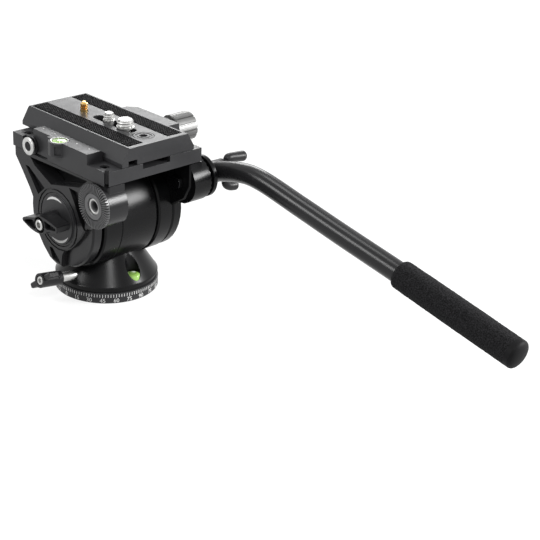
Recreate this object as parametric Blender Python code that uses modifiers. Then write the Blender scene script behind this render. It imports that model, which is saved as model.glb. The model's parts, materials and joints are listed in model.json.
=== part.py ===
"""Fluid video head: pan base, tilt drum between two arms, sliding plate clamp, pan handle.

Metres, +Z up. The origin is on the pan axis, in the face that rests on the tripod.
+Y is the way the lens points, +X the operator's right hand side.
"""

import math

import bmesh
import bpy
from mathutils import Matrix, Vector

# Fits between pieces
SEAT = 0.0003          # pieces that rest on each other or fill each other's holes
RUN = 0.0004           # pieces that turn or slide on each other
OVERRUN = 0.0010       # how far a cutter passes the face it opens
MERGE = 0.00001        # vertices closer than this are one

# Facets of round pieces, by size
FINE = 36
ROUND = 20
MEDIUM = 18
SMALL = 10
SHARP_ANGLE = math.radians(32)
FLAT_ANGLE = math.radians(0.2)

# Base that carries the pan scale
BASE_R = 0.0300
BASE_H = 0.0062
BASE_EDGE = 0.0005
WASHER_R_IN = 0.0186
WASHER_R_OUT = 0.0208
WASHER_H = 0.0008
WASHER_SINK = 0.0010

# Spindle that the pan body turns on, with the tripod thread in its foot
FLANGE_R = 0.0130
FLANGE_H = 0.0040
SPINDLE_R = 0.0080
SPINDLE_END_R = 0.0060
SPINDLE_TOP = 0.0215
THREAD_R = 0.0046
THREAD_DEPTH = 0.0105
NUT_R = 0.0110
NUT_H = 0.0036
NUT_SIDES = 8

# Grease damper between base and pan body: rings that mesh without touching
PAN_DAMPER_R_IN = 0.0098
PAN_DAMPER_R_OUT = 0.0178
PAN_DAMPER_FLOOR_H = 0.0009
PAN_FIN_T = 0.0012
PAN_FIN_H = 0.0046
PAN_FIN_GAP = 0.0006

# Pan body: a cone that rises from a rim into the tilt drum
RIM_R = 0.0297
RIM_UNDER_R = 0.0289
RIM_LOW_Z = 0.0086
RIM_EDGE_Z = 0.0090
RIM_TOP_Z = 0.0092
CONE_FOOT_R = 0.0293
CONE_FOOT_Z = 0.0096
CONE_DRAW = 0.66       # radius lost for each unit of height
CONE_TOP_Z = 0.0300
CAVITY_R = 0.0184
CAVITY_TOP_Z = 0.0130
HUB_TOP_Z = 0.0170
NUT_POCKET_R = 0.0120

# Level of the pan body, in a hole drilled straight down into the cone
PAN_LEVEL_Y = -0.0240
PAN_LEVEL_HOLE_R = 0.0043
PAN_LEVEL_FLOOR_Z = 0.0104
PAN_LEVEL_TOP_Z = 0.0139

# Tilt drum, part of the pan body
TILT_Z = 0.04825
DRUM_R = 0.0300
DRUM_LEFT = -0.0243
DRUM_RIGHT = 0.0129
DRUM_EDGE = 0.0008
DRUM_STEP_X = -0.0122
DRUM_STEP_W = 0.0008
DRUM_STEP_DEPTH = 0.0004
DRUM_BORE_R = 0.0220
DRUM_WALL = 0.0040

# Counterbalance cover that closes the drum on its right
COVER_PROUD = 0.0003
COVER_LEFT = 0.0142
COVER_RIGHT = 0.0243
COVER_EDGE = 0.0008
COVER_WALL = 0.0040
COVER_BORE_R = 0.0190
GROOVE_R = 0.0284
SPIGOT_LEFT = 0.0080
COVER_R = DRUM_R + COVER_PROUD

# Tilt shaft, its bearings and what turns inside the drum
SHAFT_R = 0.0070
SHAFT_LEFT = -0.0308
SHAFT_RIGHT = 0.0312
ARBOR_R = 0.0105
ARBOR_LEFT = -0.0080
ARBOR_RIGHT = 0.0160
BEARING_R = 0.0100
BEARING_W = 0.0034
STATOR_X = -0.0199
STATOR_T = 0.0013
STATOR_FIN_END = -0.0150
STATOR_FIN_R = (0.0140,)
ROTOR_X = -0.0140
ROTOR_T = 0.0014
ROTOR_FIN_END = -0.0176
ROTOR_FIN_R = (0.0120, 0.0160)
ROTOR_R = 0.0205
TILT_FIN_T = 0.0010
SPRING_WIRE_R = 0.0011
SPRING_LEFT = -0.0055
SPRING_RIGHT = 0.0125
SPRING_TURNS = 5
SPRING_POINTS_PER_TURN = 10

# Cheeks and arms that carry the clamp, beside the drum
CHEEK_INNER = 0.0247
CHEEK_OUTER = 0.0315
LEFT_CHEEK_R = 0.0285
RIGHT_CHEEK_R = 0.0300
CHEEK_EDGE = 0.0010
LEFT_ARM_OUTER = 0.0345
ARM_INNER = 0.0229
RIGHT_ARM_OUTER = 0.0322
ARM_EDGE = 0.0008
ARM_FRONT = 0.0395
ARM_BACK = 0.0455
ARM_DROP = 0.0616
ARM_HUB_R = 0.0230
ARM_GAP_BELOW_CLAMP = SEAT
BRAKE_PAD_R_IN = 0.0103
BRAKE_PAD_R_OUT = 0.0197
BRAKE_PAD_T = 0.0017
LOCK_RING_R = 0.0178
LOCK_RING_W = 0.0010
LOCK_RING_DEPTH = 0.0008
POCKET_DEPTH = 0.0030
SLOT_DEPTH = 0.0020

# Arm outline: (share of front or back reach, share of drop) from the clamp down
ARM_FRONT_SHARES = ((1.00, 0.00), (1.00, 0.10), (0.88, 0.19), (0.67, 0.36))
ARM_BACK_SHARES = ((-0.65, 0.48), (-0.90, 0.36), (-1.00, 0.22), (-1.00, 0.00))
# Arm round the hub: (degrees about the tilt axis, share of hub radius)
ARM_HUB_SHARES = (
    (14, 1.04), (0, 1.00), (-22, 1.00), (-38, 1.04), (-55, 1.09), (-73, 1.19), (-85, 1.22),
    (-97, 1.23), (-102, 0.92), (-110, 0.81), (-135, 0.79), (-168, 0.92), (-186, 1.12),
)
# Openings in the arm: corners in the same shares as the outline
WINDOW_SHARES = ((0.62, 0.05), (0.52, 0.115), (0.14, 0.225), (-0.45, 0.125), (-0.60, 0.03))
FRONT_POCKET_SHARES = ((0.74, 0.15), (0.45, 0.38), (0.29, 0.29), (0.66, 0.15))
# Pocket between hub and boss: (degrees about the tilt axis, share of hub radius)
BACK_POCKET_SHARES = (
    (116, 1.09), (130, 1.26), (145, 1.12), (165, 1.12), (179, 1.08), (165, 0.92), (139, 0.93),
)
LOW_SLOT_SHARES = ((-67, 0.90), (-74, 0.85), (-92, 1.05), (-94, 1.15), (-78, 1.13))

# Bosses at the back of the arms that take the handle
BOSS_Y = -0.0366
BOSS_Z = 0.0686
LEFT_BOSS_R = 0.0125
LEFT_BOSS_OUTER = 0.0360
RIGHT_BOSS_R = 0.0128
RIGHT_BOSS_OUTER = 0.0346
ROSETTE_R = 0.0125
ROSETTE_R_IN = 0.0086
ROSETTE_T = 0.0020
TOOTH_DEPTH = 0.0008
TOOTH_COUNT = 26
TOOTH_DEPTH_SHARE = 0.95   # how deep the valleys go toward the shelf, at the rim
BOSS_BUSH_R = 0.0046
BOSS_BUSH_BORE_R = 0.0031

# Clamp that the arms carry: deck, fixed left jaw, moving right jaw
CLAMP_LEFT = -0.0360
CLAMP_RIGHT = 0.0310
CLAMP_BACK = -0.0455
CLAMP_FRONT = 0.0385
CLAMP_BOTTOM = 0.0817
DECK_Z = 0.0897
JAW_TOP_Z = 0.0955
CLAMP_CORNER = 0.0020
CHANNEL_LEFT = -0.0110
CHANNEL_RIGHT = 0.0080
CHANNEL_DEPTH = 0.0032
JAW_BACK = -0.0292
JAW_FRONT = 0.0219
JAW_STEP_Y = 0.0061
JAW_STEP_FRONT = 0.0288
JAW_STEP = 0.0022
JAW_CREST_X = 0.0266
JAW_HOOK_Z = 0.0942
MOVING_JAW_BACK = -0.0195
MOVING_JAW_LEFT = 0.0314
MOVING_JAW_RIGHT = 0.0370
MOVING_JAW_BOTTOM = 0.0826
JAW_TRAVEL = 0.0030
JAW_CHAMFER = 0.0070
PIN_R = 0.0014
PIN_LENGTH = 0.0105
PIN_YS = (-0.0152, 0.0150)
JAW_SCREW_Y = -0.0055
JAW_SCREW_Z = 0.0866
JAW_SCREW_R = 0.0022
JAW_SCREW_LENGTH = 0.0110
KNOB_COLLAR_R = 0.0072
KNOB_COLLAR_RIGHT = 0.0408
KNOB_LEFT = 0.0413
KNOB_RIGHT = 0.0570
KNOB_R = 0.0087
KNOB_RIB_DEPTH = 0.0008
KNOB_RIB_COUNT = 14
KNOB_NECK_R = 0.0045
KNOB_BORE_DEPTH = 0.0042
DECK_SCREW_R = 0.0024
DECK_SCREW_H = 0.0014
DECK_SCREW_YS = (-0.0370, 0.0310)
DECK_SCREW_XS = (-0.0302, 0.0282)
DECK_SCREW_SHANK_R = 0.0013
DECK_SCREW_DEPTH = 0.0056

# Level on the fixed jaw, in a bulge with a sight slot
LEVEL_X = -0.0338
LEVEL_Y = -0.0022
BULGE_R = 0.0061
BULGE_BOTTOM = 0.0875
BEZEL_R = 0.0051
BEZEL_R_IN = 0.0043
BEZEL_H = 0.0010
VIAL_R = 0.0040
VIAL_H = 0.0042
SIGHT_W = 0.0036
SIGHT_BOTTOM = 0.0885
SIGHT_DEPTH = 0.0012
SIGHT_TURN = math.radians(42)   # from the left toward the back

# Release button on the left of the clamp
BUTTON_Y = 0.0220
BUTTON_Z = 0.0858
COLLAR_R = 0.0049
COLLAR_OUTER = -0.0350
COLLAR_STEM_R = 0.0034
COLLAR_STEM_END = -0.0310
BUTTON_R = 0.0051
BUTTON_FACE_R = 0.0026
BUTTON_FACE_SINK = 0.0005
BUTTON_INNER = -0.0365
BUTTON_OUTER = -0.0379
BUTTON_STEM_R = 0.0018
BUTTON_STEM_END = -0.0290
BUTTON_HOLE_END = -0.0220
BUTTON_SPRING_TURNS = 4
BUTTON_WIRE_R = 0.00036

# Camera plate: dovetail flanks, two strips, a long slot for the camera screws
PLATE_BACK = -0.0455
PLATE_FRONT = 0.0445
PLATE_HALF_W = 0.0252
PLATE_TOP_HALF_W = 0.0210
PLATE_FLANK_H = 0.0022
PLATE_LIP_H = 0.0094
PLATE_H = 0.0101
PLATE_EDGE = 0.0008
PAD_LEFT = 0.0089
PAD_RIGHT = 0.0187
PAD_BACK = -0.0420
PAD_FRONT = 0.0430
PAD_SINK = 0.0008
PAD_PROUD = 0.0003
SLOT_X = -0.0010
SLOT_FRONT = 0.0085
SLOT_BACK = -0.0262
SLOT_W = 0.0068
SLOT_WELL_W = 0.0124
SLOT_WELL_H = 0.0062
RING_Y = -0.0336
RING_R = 0.0058
RING_BORE_R = 0.0021
RING_T = 0.0018
VIDEO_PIN_Y = 0.0187
VIDEO_PIN_R = 0.0021
VIDEO_PIN_RISE = 0.0057
VIDEO_PIN_HEAD_R = 0.0032
VIDEO_PIN_HEAD_H = 0.0012
VIDEO_PIN_WELL_H = 0.0086
PIN_SPRING_TURNS = 3
PIN_SPRING_WIRE_R = 0.0003
BACK_NOTCH_X = 0.0180
BACK_NOTCH_W = 0.0060
BACK_NOTCH_H = 0.0030
SCREW_EDGE_SHARE = 0.17
SMALL_SCREW_Y = -0.0037
SMALL_SCREW_R = 0.0031
LARGE_SCREW_Y = -0.0180
LARGE_SCREW_R = 0.0047
SCREW_TOP_ABOVE = 0.0052
SCREW_HEAD_H = 0.0022
CARRIER_W = 0.0118
CARRIER_H = 0.0020
SCREW_NECK_R = 0.0029

# Tilt lock on the outside of the left arm
DIAL_R = 0.0155
DIAL_OUTER = -0.0352
DIAL_INNER = -0.0333
LOCK_HUB_R = 0.0052
LOCK_HUB_OUTER = -0.0468
LOCK_WING_SPAN = 0.0158
LOCK_WING_LEFT = -0.0460
LOCK_WING_RIGHT = -0.0378
LOCK_WING_ROOT_T = 0.0084
LOCK_WING_TIP_T = 0.0038
LOCK_SCREW_R = 0.0030
LOCK_SCREW_OUTER = -0.0474
LOCK_STEM_R = 0.0040
LOCK_STEM_END = -0.0310
LOCK_WING_EDGE_SHARE = 0.33
SOCKET_SHARE = 0.55      # across a hexagon socket, in shares of its screw's radius
END_CAP_R = 0.0150
END_CAP_EDGE = 0.0005
END_CAP_OUTER = 0.0340

# Pan lock lever, its axis falls a little toward the pan axis
PAN_LOCK_Y = -0.0035
PAN_LOCK_X = -0.0270
PAN_LOCK_Z = 0.0131
PAN_LOCK_RISE = math.radians(8.5)
PAN_LOCK_SHAFT_R = 0.0027
PAN_LOCK_HUB_R = 0.0042
PAN_LOCK_HUB_START = 0.0092
PAN_LOCK_HUB_END = 0.0235
PAN_LOCK_SHAFT_START = -0.0050
PAN_LOCK_CORE_R = 0.0016
PAN_LOCK_CORE_END = 0.0180
PAN_LOCK_SCREW_R = 0.0026
PAN_LOCK_SCREW_SINK = 0.0012
PAN_LOCK_HOLE_START = -0.0095
PAN_SHOE_FRONT = -0.0083
PAN_SHOE_BACK = -0.0053
PAN_WING_REACH = 0.0098
PAN_WING_T = 0.0034
PAN_WING_LEAN = math.radians(38)
# Wings along the lever's hub: where they start, are full and end, in shares of its length
WING_START_SHARE = 0.18
WING_FULL_SHARE = 0.55
WING_END_SHARE = 0.96
WING_EDGE_SHARE = 0.17

# Handle on the right boss
HUB_DISC_R = 0.0123
HUB_DISC_RIGHT = 0.0412
HUB_NECK_R = 0.0094
HUB_RIGHT = 0.0562
HUB_BORE_R = 0.0030
TUBE_R = 0.0059
TUBE_X = 0.0498
TUBE_SEAT_R = 0.0042
GRIP_R = 0.0079
GRIP_EDGE = 0.0010
BOLT_R = 0.0026
BOLT_HEAD_R = 0.0033
BOLT_LEFT = 0.0203
BOLT_RIGHT = 0.0600
HANDLE_KNOB_R = 0.0058
HANDLE_KNOB_LEFT = 0.0567
HANDLE_KNOB_RIGHT = 0.0622
HANDLE_WING_START = 0.0592
HANDLE_WING_END = 0.0735
HANDLE_WING_REACH_IN = 0.0058
HANDLE_WING_REACH_OUT = 0.0094
HANDLE_WING_R_IN = 0.0022
HANDLE_WING_R_OUT = 0.0033
HANDLE_WING_TURN = math.radians(-12)
HANDLE_KNOB_EDGE_SHARE = 0.125
# Centre line of the tube from the boss: shares of the reach, (back, up)
HANDLE_REACH = 0.2204
TUBE_PATH_SHARES = (
    (0.000, 0.000), (0.093, 0.025), (0.174, 0.027), (0.310, 0.002), (0.450, -0.025),
    (0.593, -0.051), (0.641, -0.060),
)
GRIP_END_SHARES = (1.000, -0.132)
GRIP_CAP_L = 0.0060
DOME_ANGLES = (75, 55, 30, 0)

HUB_LEFT = RIGHT_BOSS_OUTER - SEAT + 2 * ROSETTE_T - SEAT + RUN
TILT_AXIS = Vector((0, 0, TILT_Z))
BOSS_AXIS = Vector((0, BOSS_Y, BOSS_Z))
PLATE_Z = DECK_Z + SEAT
PLATE_TOP = PLATE_Z + PLATE_H
VIDEO_PIN_TOP = PLATE_TOP + VIDEO_PIN_RISE

# Colour, roughness and metallic value of each finish
FINISHES = {
    "black_anodised": ((0.014, 0.014, 0.015), 0.36, 0.55),
    "gloss_black": ((0.010, 0.010, 0.011), 0.16, 0.35),
    "black_plastic": ((0.018, 0.018, 0.019), 0.45, 0.0),
    "black_rubber": ((0.022, 0.022, 0.022), 0.85, 0.0),
    "foam": ((0.020, 0.020, 0.021), 0.95, 0.0),
    "steel": ((0.62, 0.62, 0.60), 0.24, 1.0),
    "brass": ((0.72, 0.50, 0.20), 0.28, 1.0),
    "nylon": ((0.78, 0.77, 0.72), 0.55, 0.0),
    "level_fluid": ((0.55, 0.75, 0.12), 0.08, 0.0),
}

# Frames that turn a piece's own Z axis along X or Y of the head
FACE_X = Matrix(((0, 0, 1, 0), (1, 0, 0, 0), (0, 1, 0, 0), (0, 0, 0, 1)))
FACE_Y = Matrix(((0, 1, 0, 0), (0, 0, 1, 0), (1, 0, 0, 0), (0, 0, 0, 1)))
FACE_Z = Matrix.Identity(4)


def clear_scene():
    """Remove what the scene holds."""
    for obj in list(bpy.data.objects):
        bpy.data.objects.remove(obj, do_unlink=True)


def new_collection(name):
    collection = bpy.data.collections.new(name)
    bpy.context.scene.collection.children.link(collection)
    return collection


def new_material(name, color, roughness, metallic):
    material = bpy.data.materials.new(name)
    material.use_nodes = True
    shader = material.node_tree.nodes["Principled BSDF"]
    shader.inputs["Base Color"].default_value = (*color, 1)
    shader.inputs["Roughness"].default_value = roughness
    shader.inputs["Metallic"].default_value = metallic
    material.diffuse_color = (*color, 1)
    return material


def new_shape(name, mesh, frame):
    """Put a mesh in the scene as a guide; settle() later makes a part of it."""
    shape = bpy.data.objects.new(name, mesh)
    shape.matrix_world = frame
    shape.hide_render = True
    shape.display_type = "WIRE"
    CUTTERS.objects.link(shape)
    return shape


def shape_from(bm, name, frame=FACE_Z):
    mesh = bpy.data.meshes.new(name)
    bm.to_mesh(mesh)
    bm.free()
    return new_shape(name, mesh, frame)


def baked_mesh(shape):
    """The mesh that a shape has with its modifiers applied."""
    bpy.context.view_layer.update()
    graph = bpy.context.evaluated_depsgraph_get()
    return bpy.data.meshes.new_from_object(shape.evaluated_get(graph))


def turned(name, profile, frame=FACE_Z, steps=ROUND):
    """Turn (radius, height) points, listed down the outer side, about the frame's Z."""
    bm = bmesh.new()
    verts = [bm.verts.new((radius, 0, height)) for radius, height in profile]
    for first, second in zip(verts, verts[1:]):
        bm.edges.new((first, second))
    if profile[0][0] > 0:
        bm.edges.new((verts[-1], verts[0]))
    shape = shape_from(bm, name, frame)
    screw = shape.modifiers.new("Turn", "SCREW")
    screw.steps = steps
    screw.render_steps = steps
    screw.use_merge_vertices = True
    screw.merge_threshold = MERGE
    if profile[0][0] == 0:
        caps = shape.modifiers.new("Flat caps", "DECIMATE")
        caps.decimate_type = "DISSOLVE"
        caps.angle_limit = FLAT_ANGLE
    return shape


def ring_profile(r_in, r_out, low, high, edge=0):
    """Profile of a plain ring or disc, with its outer edges chamfered."""
    outer = [(r_out - edge, high), (r_out, high - edge), (r_out, low + edge), (r_out - edge, low)]
    if not edge:
        outer = [(r_out, high), (r_out, low)]
    return outer + [(r_in, low), (r_in, high)] if r_in else [(0, high)] + outer + [(0, low)]


def ring(name, r_in, r_out, low, high, frame=FACE_Z, steps=ROUND, edge=0):
    if r_in or edge:
        return turned(name, ring_profile(r_in, r_out, low, high, edge), frame, steps)
    bm = bmesh.new()
    bmesh.ops.create_cone(bm, cap_ends=True, segments=steps, radius1=r_out, radius2=r_out,
                          depth=high - low)
    return shape_from(bm, name, frame @ Matrix.Translation((0, 0, (low + high) / 2)))


def rod(name, start, end, radius, end_radius=None, sides=SMALL):
    """Cylinder or cone between two points."""
    start, end = Vector(start), Vector(end)
    bm = bmesh.new()
    bmesh.ops.create_cone(
        bm, cap_ends=True, segments=sides, radius1=radius,
        radius2=radius if end_radius is None else end_radius, depth=(end - start).length)
    turn = (end - start).to_track_quat("Z", "Y").to_matrix().to_4x4()
    return shape_from(bm, name, Matrix.Translation((start + end) / 2) @ turn)


def box(name, low, high):
    low, high = Vector(low), Vector(high)
    bm = bmesh.new()
    bmesh.ops.create_cube(bm, size=1)
    bmesh.ops.scale(bm, vec=high - low, verts=bm.verts)
    return shape_from(bm, name, Matrix.Translation((low + high) / 2))


def mesh_of_curve(name, curve, frame):
    """Make a closed mesh of a curve, so that it can be cut and joined."""
    guide = bpy.data.objects.new(name, curve)
    guide.matrix_world = frame
    CUTTERS.objects.link(guide)
    mesh = baked_mesh(guide)
    bm = bmesh.new()
    bm.from_mesh(mesh)
    bmesh.ops.remove_doubles(bm, verts=bm.verts, dist=MERGE)
    bmesh.ops.recalc_face_normals(bm, faces=bm.faces)
    bm.to_mesh(mesh)
    bm.free()
    bpy.data.objects.remove(guide)
    return new_shape(name, mesh, frame)


def flat(name, points, low, high, frame, edge=0):
    """Closed outline of (x, y) points, as thick as low to high along the frame's Z."""
    curve = bpy.data.curves.new(name, "CURVE")
    curve.dimensions = "2D"
    curve.fill_mode = "BOTH"
    curve.extrude = (high - low) / 2 - edge
    curve.bevel_depth = edge
    curve.bevel_resolution = 0
    curve.offset = -edge
    spline = curve.splines.new("POLY")
    spline.points.add(len(points) - 1)
    for point, (x, y) in zip(spline.points, points):
        point.co = (x, y, 0, 1)
    spline.use_cyclic_u = True
    return mesh_of_curve(name, curve, frame @ Matrix.Translation((0, 0, (low + high) / 2)))


def tube(name, points, radius, resolution=2):
    """Round wire or tube along points."""
    curve = bpy.data.curves.new(name, "CURVE")
    curve.dimensions = "3D"
    curve.bevel_depth = radius
    curve.bevel_resolution = resolution
    curve.use_fill_caps = True
    spline = curve.splines.new("POLY")
    spline.points.add(len(points) - 1)
    for point, place in zip(spline.points, points):
        point.co = (*place, 1)
    return mesh_of_curve(name, curve, FACE_Z)


def coil_points(radius, low, high, turns, per_turn=SPRING_POINTS_PER_TURN):
    """Points of a helix about Z."""
    count = turns * per_turn
    return [
        (radius * math.cos(math.tau * i / per_turn), radius * math.sin(math.tau * i / per_turn),
         low + (high - low) * i / count)
        for i in range(count + 1)
    ]


def arc(centre, radius, start, end, count):
    """Points on an arc; the angles are in degrees."""
    angles = [math.radians(start + (end - start) * i / (count - 1)) for i in range(count)]
    return [(centre[0] + radius * math.cos(a), centre[1] + radius * math.sin(a)) for a in angles]


def cut(shape, *tools):
    for tool in tools:
        modifier = shape.modifiers.new("Cut", "BOOLEAN")
        modifier.operation = "DIFFERENCE"
        modifier.solver = "EXACT"
        modifier.object = tool
    return shape


def join(shape, *tools):
    for tool in tools:
        modifier = shape.modifiers.new("Join", "BOOLEAN")
        modifier.operation = "UNION"
        modifier.solver = "EXACT"
        modifier.object = tool
    return shape


def settle(shape, name, finish, body):
    """Make a shape a part of the head: its own mesh, finish and name, carried by its body."""
    mesh = baked_mesh(shape)
    mesh.name = name
    mesh.materials.clear()
    mesh.materials.append(new_material(name, *FINISHES[finish]))
    mesh.shade_smooth()
    mesh.set_sharp_from_angle(angle=SHARP_ANGLE)
    shape.modifiers.clear()
    shape.data = mesh
    shape.name = name
    shape.hide_render = False
    shape.display_type = "TEXTURED"
    CUTTERS.objects.unlink(shape)
    PARTS.objects.link(shape)
    place = shape.matrix_world.copy()
    shape.parent = body
    shape.matrix_parent_inverse = body.matrix_world.inverted()
    shape.matrix_world = place
    return shape


def body_at(name, place, parent=None):
    """Empty on a joint's axis, which carries the pieces that move together."""
    empty = bpy.data.objects.new(name, None)
    empty.location = place
    PARTS.objects.link(empty)
    bpy.context.view_layer.update()
    if parent:
        empty.parent = parent
        empty.matrix_parent_inverse = parent.matrix_world.inverted()
    bpy.context.view_layer.update()
    return empty


def at(x, y, z):
    """Frame whose origin is at a place, square to the head."""
    return Matrix.Translation((x, y, z))


def about_x(y, z):
    """Frame on an axis along X: its Z is the head's X, its X the head's Y."""
    return Matrix.Translation((0, y, z)) @ FACE_X


def cone_z(radius):
    """Height at which the pan body's cone has a radius."""
    return CONE_FOOT_Z + (CONE_FOOT_R - radius) / CONE_DRAW


def cone_r(height):
    return CONE_FOOT_R - (height - CONE_FOOT_Z) * CONE_DRAW


def add_base(body):
    """Scale ring, spindle, nut, washer and the lower half of the damper."""
    shelf = FLANGE_H + SEAT
    groove_floor = BASE_H - WASHER_SINK
    plate = turned("base_ring", [
        (BASE_R - BASE_EDGE, BASE_H), (BASE_R, BASE_H - BASE_EDGE), (BASE_R, BASE_EDGE),
        (BASE_R - BASE_EDGE, 0), (FLANGE_R + SEAT, 0), (FLANGE_R + SEAT, shelf),
        (SPINDLE_R + SEAT, shelf), (SPINDLE_R + SEAT, BASE_H), (WASHER_R_IN - SEAT, BASE_H),
        (WASHER_R_IN - SEAT, groove_floor), (WASHER_R_OUT + SEAT, groove_floor),
        (WASHER_R_OUT + SEAT, BASE_H),
    ], steps=FINE)
    settle(plate, "base_plate", "black_anodised", body)

    shoulder = HUB_TOP_Z + RUN - SEAT
    spindle = turned("spindle_turning", [
        (0, SPINDLE_TOP), (SPINDLE_END_R, SPINDLE_TOP), (SPINDLE_END_R, shoulder),
        (SPINDLE_R, shoulder), (SPINDLE_R, FLANGE_H), (FLANGE_R, FLANGE_H), (FLANGE_R, 0),
        (THREAD_R, 0), (THREAD_R, THREAD_DEPTH), (0, THREAD_DEPTH),
    ], steps=MEDIUM)
    settle(spindle, "pan_spindle", "steel", body)

    nut_low = HUB_TOP_Z + RUN
    nut = rod("nut", (0, 0, nut_low), (0, 0, nut_low + NUT_H), NUT_R, sides=NUT_SIDES)
    hole = rod("nut_hole", (0, 0, nut_low - OVERRUN), (0, 0, nut_low + NUT_H + OVERRUN),
               SPINDLE_END_R + SEAT, sides=MEDIUM)
    settle(cut(nut, hole), "pan_retaining_nut", "steel", body)
    washer_low = groove_floor + SEAT
    settle(ring("washer", WASHER_R_IN, WASHER_R_OUT, washer_low, washer_low + WASHER_H),
           "pan_thrust_washer", "nylon", body)
    settle(turned("lower_rings", lower_damper_profile()), "pan_damper_ring", "nylon", body)


def lower_damper_profile():
    """Disc with rings that stand up from it, spaced to mesh with the pan body's rings."""
    low = BASE_H + SEAT
    floor = low + PAN_DAMPER_FLOOR_H
    top = floor + PAN_FIN_H
    pitch = 2 * (PAN_FIN_T + PAN_FIN_GAP)
    outer = [PAN_DAMPER_R_OUT - k * pitch for k in (1, 0)]
    profile = [(PAN_DAMPER_R_OUT, low), (PAN_DAMPER_R_IN, low), (PAN_DAMPER_R_IN, floor)]
    for radius in outer:
        profile += [(radius - PAN_FIN_T, floor), (radius - PAN_FIN_T, top), (radius, top)]
        if radius != outer[-1]:
            profile.append((radius, floor))
    return profile


def pan_cone_profile():
    """Cone with its rim, and inside it the ring that meshes with the damper's."""
    low = BASE_H + RUN
    fin_low = CAVITY_TOP_Z - PAN_FIN_H
    fin_r = PAN_DAMPER_R_OUT - PAN_FIN_T - PAN_FIN_GAP
    profile = [
        (cone_r(CONE_TOP_Z), CONE_TOP_Z), (CONE_FOOT_R, CONE_FOOT_Z), (RIM_R, RIM_TOP_Z),
        (RIM_R, RIM_EDGE_Z), (RIM_UNDER_R, RIM_LOW_Z), (RIM_UNDER_R, low), (CAVITY_R, low),
        (CAVITY_R, CAVITY_TOP_Z), (fin_r, CAVITY_TOP_Z), (fin_r, fin_low),
        (fin_r - PAN_FIN_T, fin_low), (fin_r - PAN_FIN_T, CAVITY_TOP_Z),
        (SPINDLE_R + RUN, CAVITY_TOP_Z), (SPINDLE_R + RUN, CONE_TOP_Z),
    ]
    return profile


def lock_point(distance):
    """Point on the pan lock's axis, counted outward from the face of the cone."""
    return Vector((PAN_LOCK_X - distance * math.cos(PAN_LOCK_RISE), PAN_LOCK_Y,
                   PAN_LOCK_Z + distance * math.sin(PAN_LOCK_RISE)))


def add_pan_housing(body):
    """Cone and tilt drum in one casting, hollow for damper, nut and spring."""
    tilt = about_x(0, TILT_Z)
    step_high = DRUM_STEP_X + DRUM_STEP_W / 2
    step_low = DRUM_STEP_X - DRUM_STEP_W / 2
    drum = turned("drum", [
        (0, DRUM_RIGHT), (DRUM_R - DRUM_EDGE, DRUM_RIGHT), (DRUM_R, DRUM_RIGHT - DRUM_EDGE),
        (DRUM_R, step_high), (DRUM_R - DRUM_STEP_DEPTH, step_high),
        (DRUM_R - DRUM_STEP_DEPTH, step_low), (DRUM_R, step_low), (DRUM_R, DRUM_LEFT + DRUM_EDGE),
        (DRUM_R - DRUM_EDGE, DRUM_LEFT), (0, DRUM_LEFT),
    ], tilt, FINE)
    housing = turned("cone", pan_cone_profile(), steps=FINE)
    cover_room = ring("cover_room", 0, COVER_R + SEAT, DRUM_RIGHT - DRUM_EDGE,
                      COVER_RIGHT + BASE_R, tilt, FINE)
    join(cut(housing, cover_room), drum)
    bore = ring("drum_bore", 0, DRUM_BORE_R, DRUM_LEFT + DRUM_WALL, DRUM_RIGHT + OVERRUN, tilt)
    bearing = ring("bearing_bore", 0, BEARING_R + SEAT, DRUM_LEFT - OVERRUN,
                   DRUM_LEFT + DRUM_WALL + OVERRUN, tilt, MEDIUM)
    pocket = ring("nut_pocket", 0, NUT_POCKET_R, HUB_TOP_Z, CONE_TOP_Z + OVERRUN, steps=MEDIUM)
    level = rod("level_hole", (0, PAN_LEVEL_Y, PAN_LEVEL_FLOOR_Z),
                (0, PAN_LEVEL_Y, cone_z(-PAN_LEVEL_Y - PAN_LEVEL_HOLE_R) + OVERRUN),
                PAN_LEVEL_HOLE_R, sides=MEDIUM)
    lever = rod("lever_hole", lock_point(PAN_LOCK_HOLE_START), lock_point(PAN_LOCK_HUB_START),
                PAN_LOCK_SHAFT_R + SEAT)
    cut(housing, bore, bearing, pocket, level, lever)
    settle(housing, "pan_housing", "gloss_black", body)


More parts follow.
